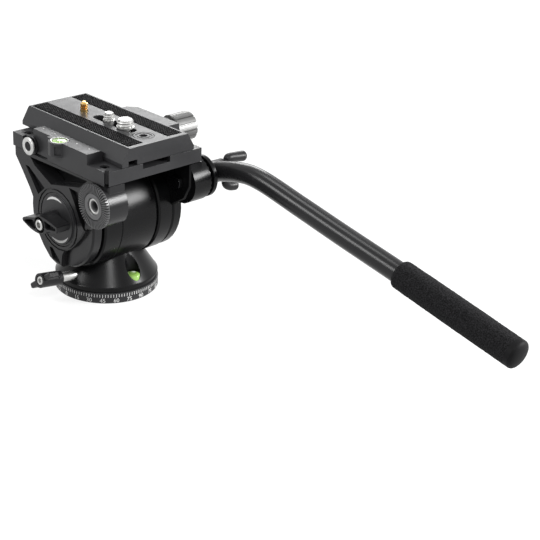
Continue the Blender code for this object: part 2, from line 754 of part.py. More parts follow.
def add_pan_details(body):
    """Cover, level, brake shoe, bearings and the fixed half of the tilt damper."""
    tilt = about_x(0, TILT_Z)
    spigot_r = DRUM_BORE_R - SEAT
    cover = turned("cover_turning", [
        (COVER_R - COVER_EDGE, COVER_RIGHT), (COVER_R, COVER_RIGHT - COVER_EDGE),
        (COVER_R, COVER_LEFT + COVER_EDGE), (COVER_R - COVER_EDGE, COVER_LEFT),
        (GROOVE_R, COVER_LEFT), (GROOVE_R, DRUM_RIGHT + SEAT), (spigot_r, DRUM_RIGHT + SEAT),
        (spigot_r, SPIGOT_LEFT), (COVER_BORE_R, SPIGOT_LEFT),
        (COVER_BORE_R, COVER_RIGHT - COVER_WALL), (BEARING_R + SEAT, COVER_RIGHT - COVER_WALL),
        (BEARING_R + SEAT, COVER_RIGHT),
    ], tilt, FINE)
    settle(cover, "counterbalance_cover", "gloss_black", body)
    vial = ring("vial", 0, PAN_LEVEL_HOLE_R - SEAT, PAN_LEVEL_FLOOR_Z + SEAT, PAN_LEVEL_TOP_Z,
                at(0, PAN_LEVEL_Y, 0), MEDIUM)
    settle(vial, "pan_level_vial", "level_fluid", body)
    shoe = rod("shoe", lock_point(PAN_SHOE_FRONT), lock_point(PAN_SHOE_BACK), PAN_LOCK_SHAFT_R)
    settle(shoe, "pan_brake_shoe", "brass", body)
    left_low = DRUM_LEFT + SEAT
    right_high = COVER_RIGHT - SEAT
    settle(ring("left_bearing", SHAFT_R + SEAT, BEARING_R, left_low, left_low + BEARING_W, tilt,
                MEDIUM), "tilt_bearing_left", "steel", body)
    settle(ring("right_bearing", SHAFT_R + SEAT, BEARING_R, right_high - BEARING_W, right_high,
                tilt, MEDIUM), "tilt_bearing_right", "steel", body)
    stator = turned("stator_turning", finned_disc(
        STATOR_X, STATOR_X + STATOR_T, STATOR_FIN_END, SHAFT_R + RUN, DRUM_BORE_R - SEAT,
        STATOR_FIN_R), tilt)
    settle(stator, "tilt_damper_stator", "nylon", body)


def finned_disc(back, face, fin_end, r_in, r_out, fins):
    """Profile of a disc with rings on its right face."""
    profile = [(r_out, face), (r_out, back), (r_in, back), (r_in, face)]
    for radius in fins:
        profile += [(radius, face), (radius, fin_end), (radius + TILT_FIN_T, fin_end),
                    (radius + TILT_FIN_T, face)]
    return profile


def add_pan_lock(body):
    """Wing lever on a steel shaft that presses the brake shoe."""
    start = lock_point(PAN_LOCK_SHAFT_START)
    step = lock_point(PAN_LOCK_HUB_START)
    core_end = lock_point(PAN_LOCK_CORE_END)
    shaft = rod("shaft_rod", start, step, PAN_LOCK_SHAFT_R)
    core = rod("shaft_core", lock_point(PAN_LOCK_HUB_START - SEAT), core_end, PAN_LOCK_CORE_R)
    settle(join(shaft, core), "pan_lock_shaft", "steel", body)

    knob = rod("lever_hub", lock_point(PAN_LOCK_HUB_START + SEAT), lock_point(PAN_LOCK_HUB_END),
               PAN_LOCK_HUB_R, sides=MEDIUM)
    wing_frame = Matrix.Translation(lock_point(0)) @ lever_frame()
    length = PAN_LOCK_HUB_END - PAN_LOCK_HUB_START
    for side in (1, -1):
        wing = flat("lever_wing", wing_outline(side, length), -PAN_WING_T / 2, PAN_WING_T / 2,
                    wing_frame, PAN_WING_T * WING_EDGE_SHARE)
        join(knob, wing)
    hole = rod("core_hole", lock_point(PAN_LOCK_HUB_START - OVERRUN),
               lock_point(PAN_LOCK_CORE_END + SEAT), PAN_LOCK_CORE_R + SEAT)
    screw_low = PAN_LOCK_HUB_END - 2 * PAN_LOCK_SCREW_SINK
    seat = rod("screw_seat", lock_point(screw_low - SEAT),
               lock_point(PAN_LOCK_HUB_END + OVERRUN), PAN_LOCK_SCREW_R + SEAT)
    settle(cut(knob, hole, seat), "pan_lock_knob", "black_plastic", body)
    screw = rod("lever_screw", lock_point(screw_low), lock_point(PAN_LOCK_HUB_END - SEAT),
                PAN_LOCK_SCREW_R)
    settle(socket_in(screw, lock_point(PAN_LOCK_HUB_END), lock_point(screw_low),
                     PAN_LOCK_SCREW_R), "pan_lock_screw", "steel", body)


def lever_frame():
    """Frame with its X outward on the pan lock's axis and its Z across the wings."""
    outward = Vector((-math.cos(PAN_LOCK_RISE), 0, math.sin(PAN_LOCK_RISE)))
    across = Vector((0, -math.cos(PAN_WING_LEAN), math.sin(PAN_WING_LEAN)))
    across = (across - outward * across.dot(outward)).normalized()
    normal = outward.cross(across)
    return Matrix((outward, across, normal)).transposed().to_4x4()


def wing_outline(side, length):
    """Wing beside the hub: wide at the outer end, drawn in toward the shaft."""
    start = PAN_LOCK_HUB_START + length * WING_START_SHARE
    end = PAN_LOCK_HUB_START + length * WING_END_SHARE
    mid = PAN_LOCK_HUB_START + length * WING_FULL_SHARE
    points = [(start, 0), (end, 0), (end, PAN_WING_REACH), (mid, PAN_WING_REACH),
              (start, PAN_LOCK_HUB_R)]
    return [(x, side * y) for x, y in points[::side]]


def socket_in(screw, face, floor, radius):
    """Cut a hexagon socket half way into a screw's head."""
    middle = (face + floor) / 2
    key = rod("socket", middle, face + (face - middle), radius * SOCKET_SHARE, sides=6)
    return cut(screw, key)


def arm_points(shares):
    """Places on the arm from shares of its reach and drop."""
    top = CLAMP_BOTTOM - ARM_GAP_BELOW_CLAMP
    return [(y * (ARM_FRONT if y > 0 else ARM_BACK), top - z * ARM_DROP) for y, z in shares]


def hub_points(shares):
    """Places round the tilt axis from degrees and shares of the hub's radius."""
    return [
        (ARM_HUB_R * share * math.cos(math.radians(angle)),
         TILT_Z + ARM_HUB_R * share * math.sin(math.radians(angle)))
        for angle, share in shares
    ]


def arm_outline():
    return arm_points(ARM_FRONT_SHARES) + hub_points(ARM_HUB_SHARES) + arm_points(ARM_BACK_SHARES)


def deck_screw_places():
    """Names and places of the screws that hold the deck to the arms."""
    for side, x in zip(("left", "right"), DECK_SCREW_XS):
        for end, y in zip(("back", "front"), DECK_SCREW_YS):
            yield f"deck_screw_{side}_{end}", x, y


def deck_screw(x, y, fit=0):
    """Cap screw down through the deck into an arm, or with a fit its stepped hole."""
    head_low = DECK_Z - DECK_SCREW_H
    head = rod("cap", (x, y, head_low - fit), (x, y, DECK_Z - SEAT + 4 * fit), DECK_SCREW_R + fit)
    shank = rod("shank", (x, y, CLAMP_BOTTOM - DECK_SCREW_DEPTH - fit), (x, y, head_low + SEAT),
                DECK_SCREW_SHANK_R + fit)
    return join(head, shank)


def arm_shape(side, cheek_r, outer, boss_r, boss_outer):
    """Arm plate with its cheek beside the drum and its boss for the handle."""
    def across(near, far):
        return (side * near, side * far) if side > 0 else (side * far, side * near)

    arm = flat("arm_plate", arm_outline(), *across(ARM_INNER, outer), FACE_X, ARM_EDGE)
    cheek = ring("cheek", 0, cheek_r, *across(CHEEK_INNER, CHEEK_OUTER), about_x(0, TILT_Z),
                 FINE, CHEEK_EDGE)
    boss = ring("boss", 0, boss_r, *across(ARM_INNER + ARM_EDGE, boss_outer), about_x(BOSS_Y, BOSS_Z))
    drum_room = ring("drum_room", 0, COVER_R + RUN, *across(ARM_INNER - OVERRUN, CHEEK_INNER),
                     about_x(0, TILT_Z), FINE)
    join(cut(join(arm, boss), drum_room), cheek)
    window = flat("window", arm_points(WINDOW_SHARES),
                  *across(ARM_INNER - OVERRUN, outer + OVERRUN), FACE_X)
    pockets = [
        flat("pocket", points, *across(outer - depth, outer + OVERRUN), FACE_X)
        for points, depth in (
            (arm_points(FRONT_POCKET_SHARES), POCKET_DEPTH),
            (hub_points(BACK_POCKET_SHARES), POCKET_DEPTH),
            (hub_points(LOW_SLOT_SHARES), SLOT_DEPTH))
    ]
    pad_rooms = []
    if side < 0:
        pad_rooms.append(ring("pad_room", BRAKE_PAD_R_IN - SEAT, BRAKE_PAD_R_OUT + SEAT,
                              *across(CHEEK_INNER - OVERRUN, CHEEK_INNER + BRAKE_PAD_T + SEAT),
                              about_x(0, TILT_Z)))
    shaft_end = SHAFT_RIGHT if side > 0 else -SHAFT_LEFT
    shaft_room = ring("shaft_room", 0, SHAFT_R + SEAT,
                      *across(CHEEK_INNER - OVERRUN, shaft_end + SEAT), about_x(0, TILT_Z), MEDIUM)
    bush_room = ring("bush_room", 0, (BOSS_BUSH_R if side < 0 else BOLT_R) + SEAT,
                     *across(ARM_INNER - OVERRUN, boss_outer + OVERRUN),
                     about_x(BOSS_Y, BOSS_Z), SMALL)
    screws = [deck_screw(x, y, SEAT) for _, x, y in deck_screw_places() if x * side > 0]
    return cut(arm, window, *pockets, *pad_rooms, shaft_room, bush_room, *screws)


def add_arms(body):
    tilt = about_x(0, TILT_Z)
    left = arm_shape(-1, LEFT_CHEEK_R, LEFT_ARM_OUTER, LEFT_BOSS_R, LEFT_BOSS_OUTER)
    dial_room = ring("dial_room", 0, DIAL_R + SEAT, -LEFT_ARM_OUTER - OVERRUN,
                     DIAL_INNER + SEAT, tilt)
    groove = ring("groove", LOCK_RING_R - LOCK_RING_W / 2, LOCK_RING_R + LOCK_RING_W / 2,
                  -LEFT_ARM_OUTER - OVERRUN, -LEFT_ARM_OUTER + LOCK_RING_DEPTH, tilt)
    stem_room = ring("stem_room", 0, LOCK_STEM_R + RUN, -LEFT_ARM_OUTER - OVERRUN,
                     SHAFT_LEFT, tilt, SMALL)
    settle(cut(left, dial_room, groove, stem_room), "left_arm", "black_anodised", body)
    right = arm_shape(1, RIGHT_CHEEK_R, RIGHT_ARM_OUTER, RIGHT_BOSS_R, RIGHT_BOSS_OUTER)
    teeth = rosette_shape(1, RIGHT_BOSS_OUTER - SEAT, BOLT_R + SEAT)
    settle(join(right, teeth), "right_arm", "gloss_black", body)
    cap_left = RIGHT_ARM_OUTER + SEAT
    settle(ring("cap", 0, END_CAP_R, cap_left, END_CAP_OUTER, tilt, edge=END_CAP_EDGE),
           "right_end_cap", "black_anodised", body)


def add_tilt_shaft(body):
    """Shaft through the drum with what turns on it: damper rotor, spring and pads."""
    tilt = about_x(0, TILT_Z)
    shaft = turned("shaft_turning", [
        (0, SHAFT_RIGHT), (SHAFT_R, SHAFT_RIGHT), (SHAFT_R, ARBOR_RIGHT), (ARBOR_R, ARBOR_RIGHT),
        (ARBOR_R, ARBOR_LEFT), (SHAFT_R, ARBOR_LEFT), (SHAFT_R, SHAFT_LEFT), (0, SHAFT_LEFT),
    ], tilt, MEDIUM)
    settle(shaft, "tilt_shaft", "steel", body)
    rotor = turned("rotor_turning", [
        (radius, -height) for radius, height in finned_disc(
            -ROTOR_X - ROTOR_T, -ROTOR_X, -ROTOR_FIN_END, SHAFT_R + SEAT, ROTOR_R,
            ROTOR_FIN_R)][::-1], tilt)
    settle(rotor, "tilt_damper_rotor", "nylon", body)
    clear_r = (ARBOR_R + SEAT + SPRING_WIRE_R) / math.cos(math.pi / SPRING_POINTS_PER_TURN)
    points = coil_points(clear_r, SPRING_LEFT, SPRING_RIGHT, SPRING_TURNS)
    spring = tube("spring_wire", [tilt @ Vector(point) for point in points], SPRING_WIRE_R, 1)
    settle(spring, "counterbalance_spring", "steel", body)
    pad = ring("pad", BRAKE_PAD_R_IN, BRAKE_PAD_R_OUT, -CHEEK_INNER - BRAKE_PAD_T, -CHEEK_INNER,
               tilt)
    settle(pad, "tilt_brake_pad", "nylon", body)


def rosette_shape(side, face, bore):
    """Ring of radial teeth that stand up from a face, toward +X or -X by the sign of side."""
    frame = Matrix.Translation((face, BOSS_Y, BOSS_Z)) @ FACE_X
    if side < 0:
        frame = frame @ Matrix.Rotation(math.pi, 4, "X")
    shelf = ROSETTE_T - TOOTH_DEPTH
    blank = turned("rosette_blank", [
        (ROSETTE_R, ROSETTE_T), (ROSETTE_R, 0), (bore, 0), (bore, shelf), (ROSETTE_R_IN, shelf),
        (ROSETTE_R_IN, ROSETTE_T),
    ], frame, 2 * TOOTH_COUNT)
    mesh = baked_mesh(blank)
    for vert in mesh.vertices:
        step = round(math.atan2(vert.co.y, vert.co.x) * TOOTH_COUNT / math.pi)
        if vert.co.z > (shelf + ROSETTE_T) / 2 and step % 2:
            radius = math.hypot(vert.co.x, vert.co.y)
            vert.co.z -= TOOTH_DEPTH * TOOTH_DEPTH_SHARE * radius / ROSETTE_R
    blank.modifiers.clear()
    blank.data = mesh
    return blank


def add_bosses(body):
    """Rosette and threaded bush on the left boss, and the bolt through the right one."""
    teeth = rosette_shape(-1, -LEFT_BOSS_OUTER - SEAT, BOSS_BUSH_R + SEAT)
    settle(teeth, "left_rosette", "black_anodised", body)
    boss = about_x(BOSS_Y, BOSS_Z)
    tooth_tip = LEFT_BOSS_OUTER + ROSETTE_T
    settle(ring("bush", BOSS_BUSH_BORE_R, BOSS_BUSH_R, -tooth_tip, -ARM_INNER - SEAT, boss, SMALL),
           "left_rosette_bush", "steel", body)
    bolt = rod("bolt_shank", (BOLT_LEFT, BOSS_Y, BOSS_Z), (BOLT_RIGHT, BOSS_Y, BOSS_Z), BOLT_R)
    head = rod("bolt_head", (BOLT_LEFT, BOSS_Y, BOSS_Z),
               (ARM_INNER - SEAT, BOSS_Y, BOSS_Z), BOLT_HEAD_R)
    settle(join(head, bolt), "handle_bolt", "steel", body)


def flank_half_width(height):
    """Half width of the camera plate at a height above its underside."""
    draw = (PLATE_HALF_W - PLATE_TOP_HALF_W) / (PLATE_LIP_H - PLATE_FLANK_H)
    return PLATE_HALF_W - max(0, height - PLATE_FLANK_H) * draw


def jaw_inner_points(gap):
    """Inner face of a jaw, (height, distance from the middle), from its crest to the deck."""
    hook = flank_half_width(JAW_HOOK_Z - PLATE_Z) + gap
    return [
        (JAW_TOP_Z, JAW_CREST_X), (JAW_HOOK_Z, hook),
        (PLATE_Z + PLATE_FLANK_H, PLATE_HALF_W + gap), (DECK_Z + gap, PLATE_HALF_W + gap),
    ]


def add_clamp(body):
    """Deck with the fixed jaw, its level bulge and the holes for all that it carries."""
    inner = [(z, -x) for z, x in jaw_inner_points(RUN)]
    outline = [(CLAMP_BOTTOM, CLAMP_LEFT), (CLAMP_BOTTOM, CLAMP_RIGHT), (DECK_Z, CLAMP_RIGHT),
               (DECK_Z, inner[-1][1])] + inner[-2::-1] + [(JAW_TOP_Z, CLAMP_LEFT)]
    deck = flat("deck_and_jaw", outline, CLAMP_BACK, CLAMP_FRONT, FACE_Y)
    left, high = CLAMP_LEFT - OVERRUN, JAW_TOP_Z + OVERRUN
    jaw_right = CLAMP_CORNER - PLATE_HALF_W
    step = box("jaw_step", (left, JAW_STEP_Y, CLAMP_BOTTOM - OVERRUN),
               (CLAMP_LEFT + JAW_STEP, JAW_STEP_FRONT, high))
    behind = box("behind_jaw", (left, CLAMP_BACK - OVERRUN, DECK_Z), (jaw_right, JAW_BACK, high))
    ahead = box("ahead_of_jaw", (left, JAW_FRONT, DECK_Z),
                (jaw_right, CLAMP_FRONT + OVERRUN, high))
    bulge = ring("bulge", 0, BULGE_R, BULGE_BOTTOM, JAW_TOP_Z - SEAT, at(LEVEL_X, LEVEL_Y, 0),
                 MEDIUM)
    join(cut(deck, behind, ahead, step), bulge)
    channel = box("channel", (CHANNEL_LEFT, CLAMP_BACK - OVERRUN, DECK_Z - CHANNEL_DEPTH),
                  (CHANNEL_RIGHT, CLAMP_FRONT + OVERRUN, DECK_Z + OVERRUN))
    bezel_low = JAW_TOP_Z - BEZEL_H - SEAT
    bezel_room = ring("bezel_room", 0, BEZEL_R + SEAT, bezel_low, JAW_TOP_Z + OVERRUN,
                      at(LEVEL_X, LEVEL_Y, 0), MEDIUM)
    vial_room = ring("vial_room", 0, VIAL_R + SEAT, JAW_TOP_Z - VIAL_H - 2 * SEAT,
                     JAW_TOP_Z + OVERRUN, at(LEVEL_X, LEVEL_Y, 0), MEDIUM)
    sight = box("sight", (-BULGE_R - OVERRUN, -SIGHT_W / 2, SIGHT_BOTTOM),
                (SIGHT_DEPTH - BULGE_R, SIGHT_W / 2, bezel_low - SIGHT_DEPTH / 2))
    sight.matrix_world = (at(LEVEL_X, LEVEL_Y, 0) @ Matrix.Rotation(SIGHT_TURN, 4, "Z")
                          @ sight.matrix_world)
    button_hole = ring("button_hole", 0, COLLAR_STEM_R + SEAT, CLAMP_LEFT - OVERRUN,
                       BUTTON_HOLE_END, about_x(BUTTON_Y, BUTTON_Z), SMALL)
    pin_holes = [
        rod("pin_hole", (CLAMP_RIGHT - PIN_LENGTH - SEAT, y, JAW_SCREW_Z),
            (CLAMP_RIGHT + OVERRUN, y, JAW_SCREW_Z), PIN_R + RUN) for y in PIN_YS
    ]
    screw_hole = rod("screw_hole", (CLAMP_RIGHT - JAW_SCREW_LENGTH - SEAT, JAW_SCREW_Y, JAW_SCREW_Z),
                     (CLAMP_RIGHT + OVERRUN, JAW_SCREW_Y, JAW_SCREW_Z), JAW_SCREW_R + RUN)
    cap_holes = [deck_screw(x, y, SEAT) for _, x, y in deck_screw_places()]
    cut(deck, channel, bezel_room, vial_room, sight, button_hole, *pin_holes, screw_hole,
        *cap_holes)
    settle(deck, "clamp_base", "black_anodised", body)
    for name, x, y in deck_screw_places():
        settle(deck_screw(x, y), name, "steel", body)


def add_clamp_details(body):
    """Level, its bezel and the collar of the release button."""
    spot = at(LEVEL_X, LEVEL_Y, 0)
    settle(ring("bezel", BEZEL_R_IN, BEZEL_R, JAW_TOP_Z - BEZEL_H, JAW_TOP_Z, spot, MEDIUM),
           "top_level_bezel", "steel", body)
    settle(ring("vial", 0, VIAL_R, JAW_TOP_Z - VIAL_H, JAW_TOP_Z - SEAT, spot, MEDIUM),
           "top_level_vial", "level_fluid", body)
    axis = about_x(BUTTON_Y, BUTTON_Z)
    flange = CLAMP_LEFT + JAW_STEP - SEAT
    collar = turned("collar", [
        (COLLAR_STEM_R, COLLAR_STEM_END), (COLLAR_STEM_R, flange), (COLLAR_R, flange),
        (COLLAR_R, COLLAR_OUTER), (BUTTON_STEM_R + RUN, COLLAR_OUTER),
        (BUTTON_STEM_R + RUN, COLLAR_STEM_END),
    ], axis, MEDIUM)
    settle(collar, "button_guide", "black_plastic", body)


def add_button(body, tilt_body):
    """Sprung button with a sunk pad in its face."""
    axis = about_x(BUTTON_Y, BUTTON_Z)
    button = turned("button_turning", [
        (0, BUTTON_STEM_END), (BUTTON_STEM_R, BUTTON_STEM_END), (BUTTON_STEM_R, BUTTON_INNER),
        (BUTTON_R, BUTTON_INNER), (BUTTON_R, BUTTON_OUTER), (BUTTON_FACE_R + SEAT, BUTTON_OUTER),
        (BUTTON_FACE_R + SEAT, BUTTON_OUTER + 2 * BUTTON_FACE_SINK),
        (0, BUTTON_OUTER + 2 * BUTTON_FACE_SINK),
    ], axis, MEDIUM)
    settle(button, "release_button", "steel", body)
    pad_inner = BUTTON_OUTER + 2 * BUTTON_FACE_SINK - SEAT
    settle(ring("button_face", 0, BUTTON_FACE_R, BUTTON_OUTER, pad_inner, axis),
           "release_button_pad", "black_rubber", body)
    wire = BUTTON_WIRE_R
    coil = coil_points(BUTTON_STEM_R, BUTTON_STEM_END + 2 * wire, BUTTON_HOLE_END - 2 * wire,
                       BUTTON_SPRING_TURNS, SMALL // 2)
    spring = tube("button_wire", [axis @ Vector(point) for point in coil], wire, 1)
    settle(spring, "button_spring", "steel", tilt_body)


def add_jaw(body):
    """Jaw that the knob draws against the plate, with its two guide pins."""
    inner = jaw_inner_points(RUN)
    outline = [(MOVING_JAW_BOTTOM, MOVING_JAW_RIGHT), (JAW_TOP_Z, MOVING_JAW_RIGHT)] + inner
    outline += [(DECK_Z + RUN, MOVING_JAW_LEFT), (MOVING_JAW_BOTTOM, MOVING_JAW_LEFT)]
    jaw = flat("moving_jaw_bar", outline, MOVING_JAW_BACK, JAW_FRONT, FACE_Y)
    chamfer = rod("jaw_chamfer", (MOVING_JAW_RIGHT + JAW_STEP, JAW_FRONT, MOVING_JAW_BOTTOM - OVERRUN),
                  (MOVING_JAW_RIGHT + JAW_STEP, JAW_FRONT, JAW_TOP_Z + OVERRUN),
                  JAW_CHAMFER, sides=4)
    holes = [
        rod("jaw_hole", (MOVING_JAW_LEFT - OVERRUN, y, JAW_SCREW_Z),
            (MOVING_JAW_RIGHT + OVERRUN, y, JAW_SCREW_Z), radius)
        for y, radius in ((PIN_YS[0], PIN_R + SEAT), (PIN_YS[1], PIN_R + SEAT),
                          (JAW_SCREW_Y, JAW_SCREW_R + RUN))
    ]
    settle(cut(jaw, chamfer, *holes), "moving_jaw", "black_anodised", body)
    for name, y in zip(("jaw_guide_pin_back", "jaw_guide_pin_front"), PIN_YS):
        pin = rod("pin", (CLAMP_RIGHT - PIN_LENGTH + JAW_TRAVEL, y, JAW_SCREW_Z),
                  (MOVING_JAW_RIGHT, y, JAW_SCREW_Z), PIN_R)
        settle(pin, name, "steel", body)


def add_clamp_knob(body):
    """Ribbed knob on the clamp screw."""
    count = 2 * KNOB_RIB_COUNT
    outline = [
        ((KNOB_R - KNOB_RIB_DEPTH * (i % 2)) * math.cos(math.tau * i / count),
         (KNOB_R - KNOB_RIB_DEPTH * (i % 2)) * math.sin(math.tau * i / count))
        for i in range(count)
    ]
    axis = about_x(JAW_SCREW_Y, JAW_SCREW_Z)
    knob = flat("ribbed_bar", outline, KNOB_LEFT, KNOB_RIGHT, axis)
    collar_left = MOVING_JAW_RIGHT + RUN
    collar = turned("knob_collar", [
        (0, KNOB_LEFT + OVERRUN), (KNOB_NECK_R, KNOB_LEFT + OVERRUN),
        (KNOB_NECK_R, KNOB_COLLAR_RIGHT), (KNOB_COLLAR_R, KNOB_COLLAR_RIGHT),
        (KNOB_COLLAR_R, collar_left), (0, collar_left),
    ], axis, MEDIUM)
    hole = ring("knob_hole", 0, JAW_SCREW_R + SEAT, MOVING_JAW_RIGHT, KNOB_LEFT + KNOB_BORE_DEPTH,
                axis, SMALL)
    join(knob, collar)
    settle(cut(knob, hole), "clamp_knob", "steel", body)
    screw = rod("clamp_screw_rod", (CLAMP_RIGHT - JAW_SCREW_LENGTH, JAW_SCREW_Y, JAW_SCREW_Z),
                (KNOB_LEFT + KNOB_BORE_DEPTH - SEAT, JAW_SCREW_Y, JAW_SCREW_Z), JAW_SCREW_R)
    settle(screw, "clamp_screw", "steel", body)


def rounded_slot(front, back, half_width, count=7):
    """Slot outline (y, x) with round ends, about the slot's middle line."""
    points = arc((front - half_width, SLOT_X), half_width, 90, -90, count)
    points += arc((back + half_width, SLOT_X), half_width, -90, -270, count)
    return [(x, y) for y, x in points]


def pad_box(name, side, fit):
    """Rubber strip on the plate, or with a fit the recess it lies in."""
    left, right = sorted((side * PAD_LEFT, side * PAD_RIGHT))
    floor = PLATE_TOP - PAD_SINK
    return box(name, (left - fit, PAD_BACK - fit, floor if fit else floor + SEAT),
               (right + fit, PAD_FRONT + fit, PLATE_TOP + (OVERRUN if fit else PAD_PROUD)))


def add_plate(body):
    """Dovetail plate with its screw slot, wells, strips and spare bush."""
    top_half = PLATE_TOP_HALF_W - PLATE_EDGE
    right = [
        (PLATE_Z, PLATE_HALF_W), (PLATE_Z + PLATE_FLANK_H, PLATE_HALF_W),
        (PLATE_Z + PLATE_LIP_H, PLATE_TOP_HALF_W), (PLATE_TOP - PLATE_EDGE, PLATE_TOP_HALF_W),
        (PLATE_TOP, top_half),
    ]
    outline = right + [(z, -x) for z, x in right[::-1]]
    plate = flat("plate_bar", outline, PLATE_BACK, PLATE_FRONT, FACE_Y)
    slot = flat("slot", rounded_slot(SLOT_FRONT, SLOT_BACK, SLOT_W / 2), PLATE_Z - OVERRUN,
                PLATE_TOP + OVERRUN, FACE_Z)
    well_side = SLOT_WELL_W / 2
    well = box("well", (SLOT_X - well_side, SLOT_BACK - SEAT, PLATE_Z - OVERRUN),
               (SLOT_X + well_side, SLOT_FRONT + SEAT, PLATE_Z + SLOT_WELL_H))
    bush_room = ring("bush_room", 0, RING_R + SEAT, PLATE_TOP - RING_T - SEAT,
                     PLATE_TOP + OVERRUN, at(SLOT_X, RING_Y, 0), MEDIUM)
    bush_hole = rod("bush_hole", (SLOT_X, RING_Y, PLATE_Z - OVERRUN),
                    (SLOT_X, RING_Y, PLATE_TOP), RING_BORE_R)
    pin_hole = rod("pin_hole", (SLOT_X, VIDEO_PIN_Y, PLATE_Z), (SLOT_X, VIDEO_PIN_Y,
                   PLATE_TOP + OVERRUN), VIDEO_PIN_R + RUN)
    pin_well = rod("pin_well", (SLOT_X, VIDEO_PIN_Y, PLATE_Z - OVERRUN),
                   (SLOT_X, VIDEO_PIN_Y, PLATE_Z + VIDEO_PIN_WELL_H), VIDEO_PIN_HEAD_R + RUN)
    notch_right = -BACK_NOTCH_X + BACK_NOTCH_W / 2
    notch = box("notch", (notch_right - BACK_NOTCH_W, PLATE_BACK - OVERRUN, PLATE_Z - OVERRUN),
                (notch_right, PLATE_FRONT + OVERRUN, PLATE_Z + BACK_NOTCH_H))
    recesses = [pad_box("recess", side, SEAT) for side in (-1, 1)]
    cut(plate, slot, well, bush_room, bush_hole, pin_hole, pin_well, notch, *recesses)
    settle(plate, "camera_plate", "black_anodised", body)
    for name, side in (("plate_pad_left", -1), ("plate_pad_right", 1)):
        settle(pad_box("strip", side, 0), name, "black_rubber", body)
    settle(ring("spare_bush", RING_BORE_R, RING_R, PLATE_TOP - RING_T, PLATE_TOP,
                at(SLOT_X, RING_Y, 0), MEDIUM), "plate_spare_bush", "steel", body)
    plug_top = PLATE_Z + SEAT + VIDEO_PIN_HEAD_H
    settle(ring("plug", 0, VIDEO_PIN_HEAD_R + RUN - SEAT, PLATE_Z + SEAT, plug_top,
                at(SLOT_X, VIDEO_PIN_Y, 0), SMALL), "video_pin_plug", "steel", body)
    wire = PIN_SPRING_WIRE_R
    head_low = PLATE_Z + VIDEO_PIN_WELL_H - SEAT - VIDEO_PIN_HEAD_H
    coil = coil_points(VIDEO_PIN_R, plug_top + SEAT + wire, head_low - SEAT - wire,
                       PIN_SPRING_TURNS, SMALL // 2)
    place = at(SLOT_X, VIDEO_PIN_Y, 0)
    spring = tube("pin_wire", [place @ Vector(point) for point in coil], wire, 1)
    settle(spring, "video_pin_spring", "steel", body)


def add_video_pin(body):
    flange_high = PLATE_Z + VIDEO_PIN_WELL_H - SEAT
    pin = turned("pin_turning", [
        (0, VIDEO_PIN_TOP), (VIDEO_PIN_R / 2, VIDEO_PIN_TOP),
        (VIDEO_PIN_R, VIDEO_PIN_TOP - VIDEO_PIN_R / 2), (VIDEO_PIN_R, flange_high),
        (VIDEO_PIN_HEAD_R, flange_high), (VIDEO_PIN_HEAD_R, flange_high - VIDEO_PIN_HEAD_H),
        (0, flange_high - VIDEO_PIN_HEAD_H),
    ], at(SLOT_X, VIDEO_PIN_Y, 0), SMALL)
    settle(pin, "video_pin", "brass", body)


def add_camera_screw(carrier_body, screw_body, size, y, radius):
    """Slider in the plate's well, and the camera screw that turns in it."""
    ceiling = PLATE_Z + SLOT_WELL_H - RUN
    half = CARRIER_W / 2
    slider = box("slider", (SLOT_X - half, y - half, ceiling - CARRIER_H),
                 (SLOT_X + half, y + half, ceiling))
    hole = rod("slider_hole", (SLOT_X, y, ceiling - CARRIER_H - OVERRUN),
               (SLOT_X, y, ceiling + OVERRUN), SCREW_NECK_R + RUN)
    settle(cut(slider, hole), size + "_slider", "steel", carrier_body)
    head_high = ceiling - CARRIER_H - RUN
    stud_low = PLATE_TOP + RUN
    tip = PLATE_TOP + SCREW_TOP_ABOVE
    edge = radius * SCREW_EDGE_SHARE
    screw = turned("screw_turning", [
        (0, tip), (radius - edge, tip), (radius, tip - edge), (radius, stud_low),
        (SCREW_NECK_R, stud_low), (SCREW_NECK_R, head_high), (CARRIER_W / 2, head_high),
        (CARRIER_W / 2, head_high - SCREW_HEAD_H), (0, head_high - SCREW_HEAD_H),
    ], at(SLOT_X, y, 0), MEDIUM)
    settle(screw, size + "_screw", "steel", screw_body)


def add_tilt_lock(body, tilt_body):
    """Wing knob on the left arm, with its dial, screw and stem."""
    tilt = about_x(0, TILT_Z)
    dial = ring("dial", LOCK_STEM_R + RUN, DIAL_R, DIAL_OUTER, DIAL_INNER, tilt)
    settle(dial, "lock_dial", "black_anodised", tilt_body)
    hub = turned("lock_hub", [
        (0, LOCK_STEM_END), (LOCK_STEM_R, LOCK_STEM_END), (LOCK_STEM_R, DIAL_OUTER - RUN),
        (LOCK_HUB_R, DIAL_OUTER - RUN), (LOCK_HUB_R, LOCK_HUB_OUTER), (0, LOCK_HUB_OUTER),
    ], tilt, MEDIUM)
    root, tip = LOCK_WING_ROOT_T / 2, LOCK_WING_TIP_T / 2
    wing = flat("wing", [
        (-LOCK_WING_SPAN, -tip), (0, -root), (LOCK_WING_SPAN, -tip), (LOCK_WING_SPAN, tip),
        (0, root), (-LOCK_WING_SPAN, tip),
    ], LOCK_WING_LEFT, LOCK_WING_RIGHT, tilt, tip * LOCK_WING_EDGE_SHARE)
    seat_floor = LOCK_SCREW_OUTER + 2 * LOCK_SCREW_R
    seat = ring("lock_screw_seat", 0, LOCK_SCREW_R + SEAT, LOCK_HUB_OUTER - OVERRUN,
                seat_floor + SEAT, tilt, SMALL)
    settle(cut(join(hub, wing), seat), "tilt_lock_knob", "black_plastic", body)
    screw = ring("lock_screw_rod", 0, LOCK_SCREW_R, LOCK_SCREW_OUTER, seat_floor, tilt, SMALL)
    face = Vector((LOCK_SCREW_OUTER, 0, TILT_Z))
    floor = Vector((seat_floor, 0, TILT_Z))
    settle(socket_in(screw, face, floor, LOCK_SCREW_R), "tilt_lock_screw", "steel", body)


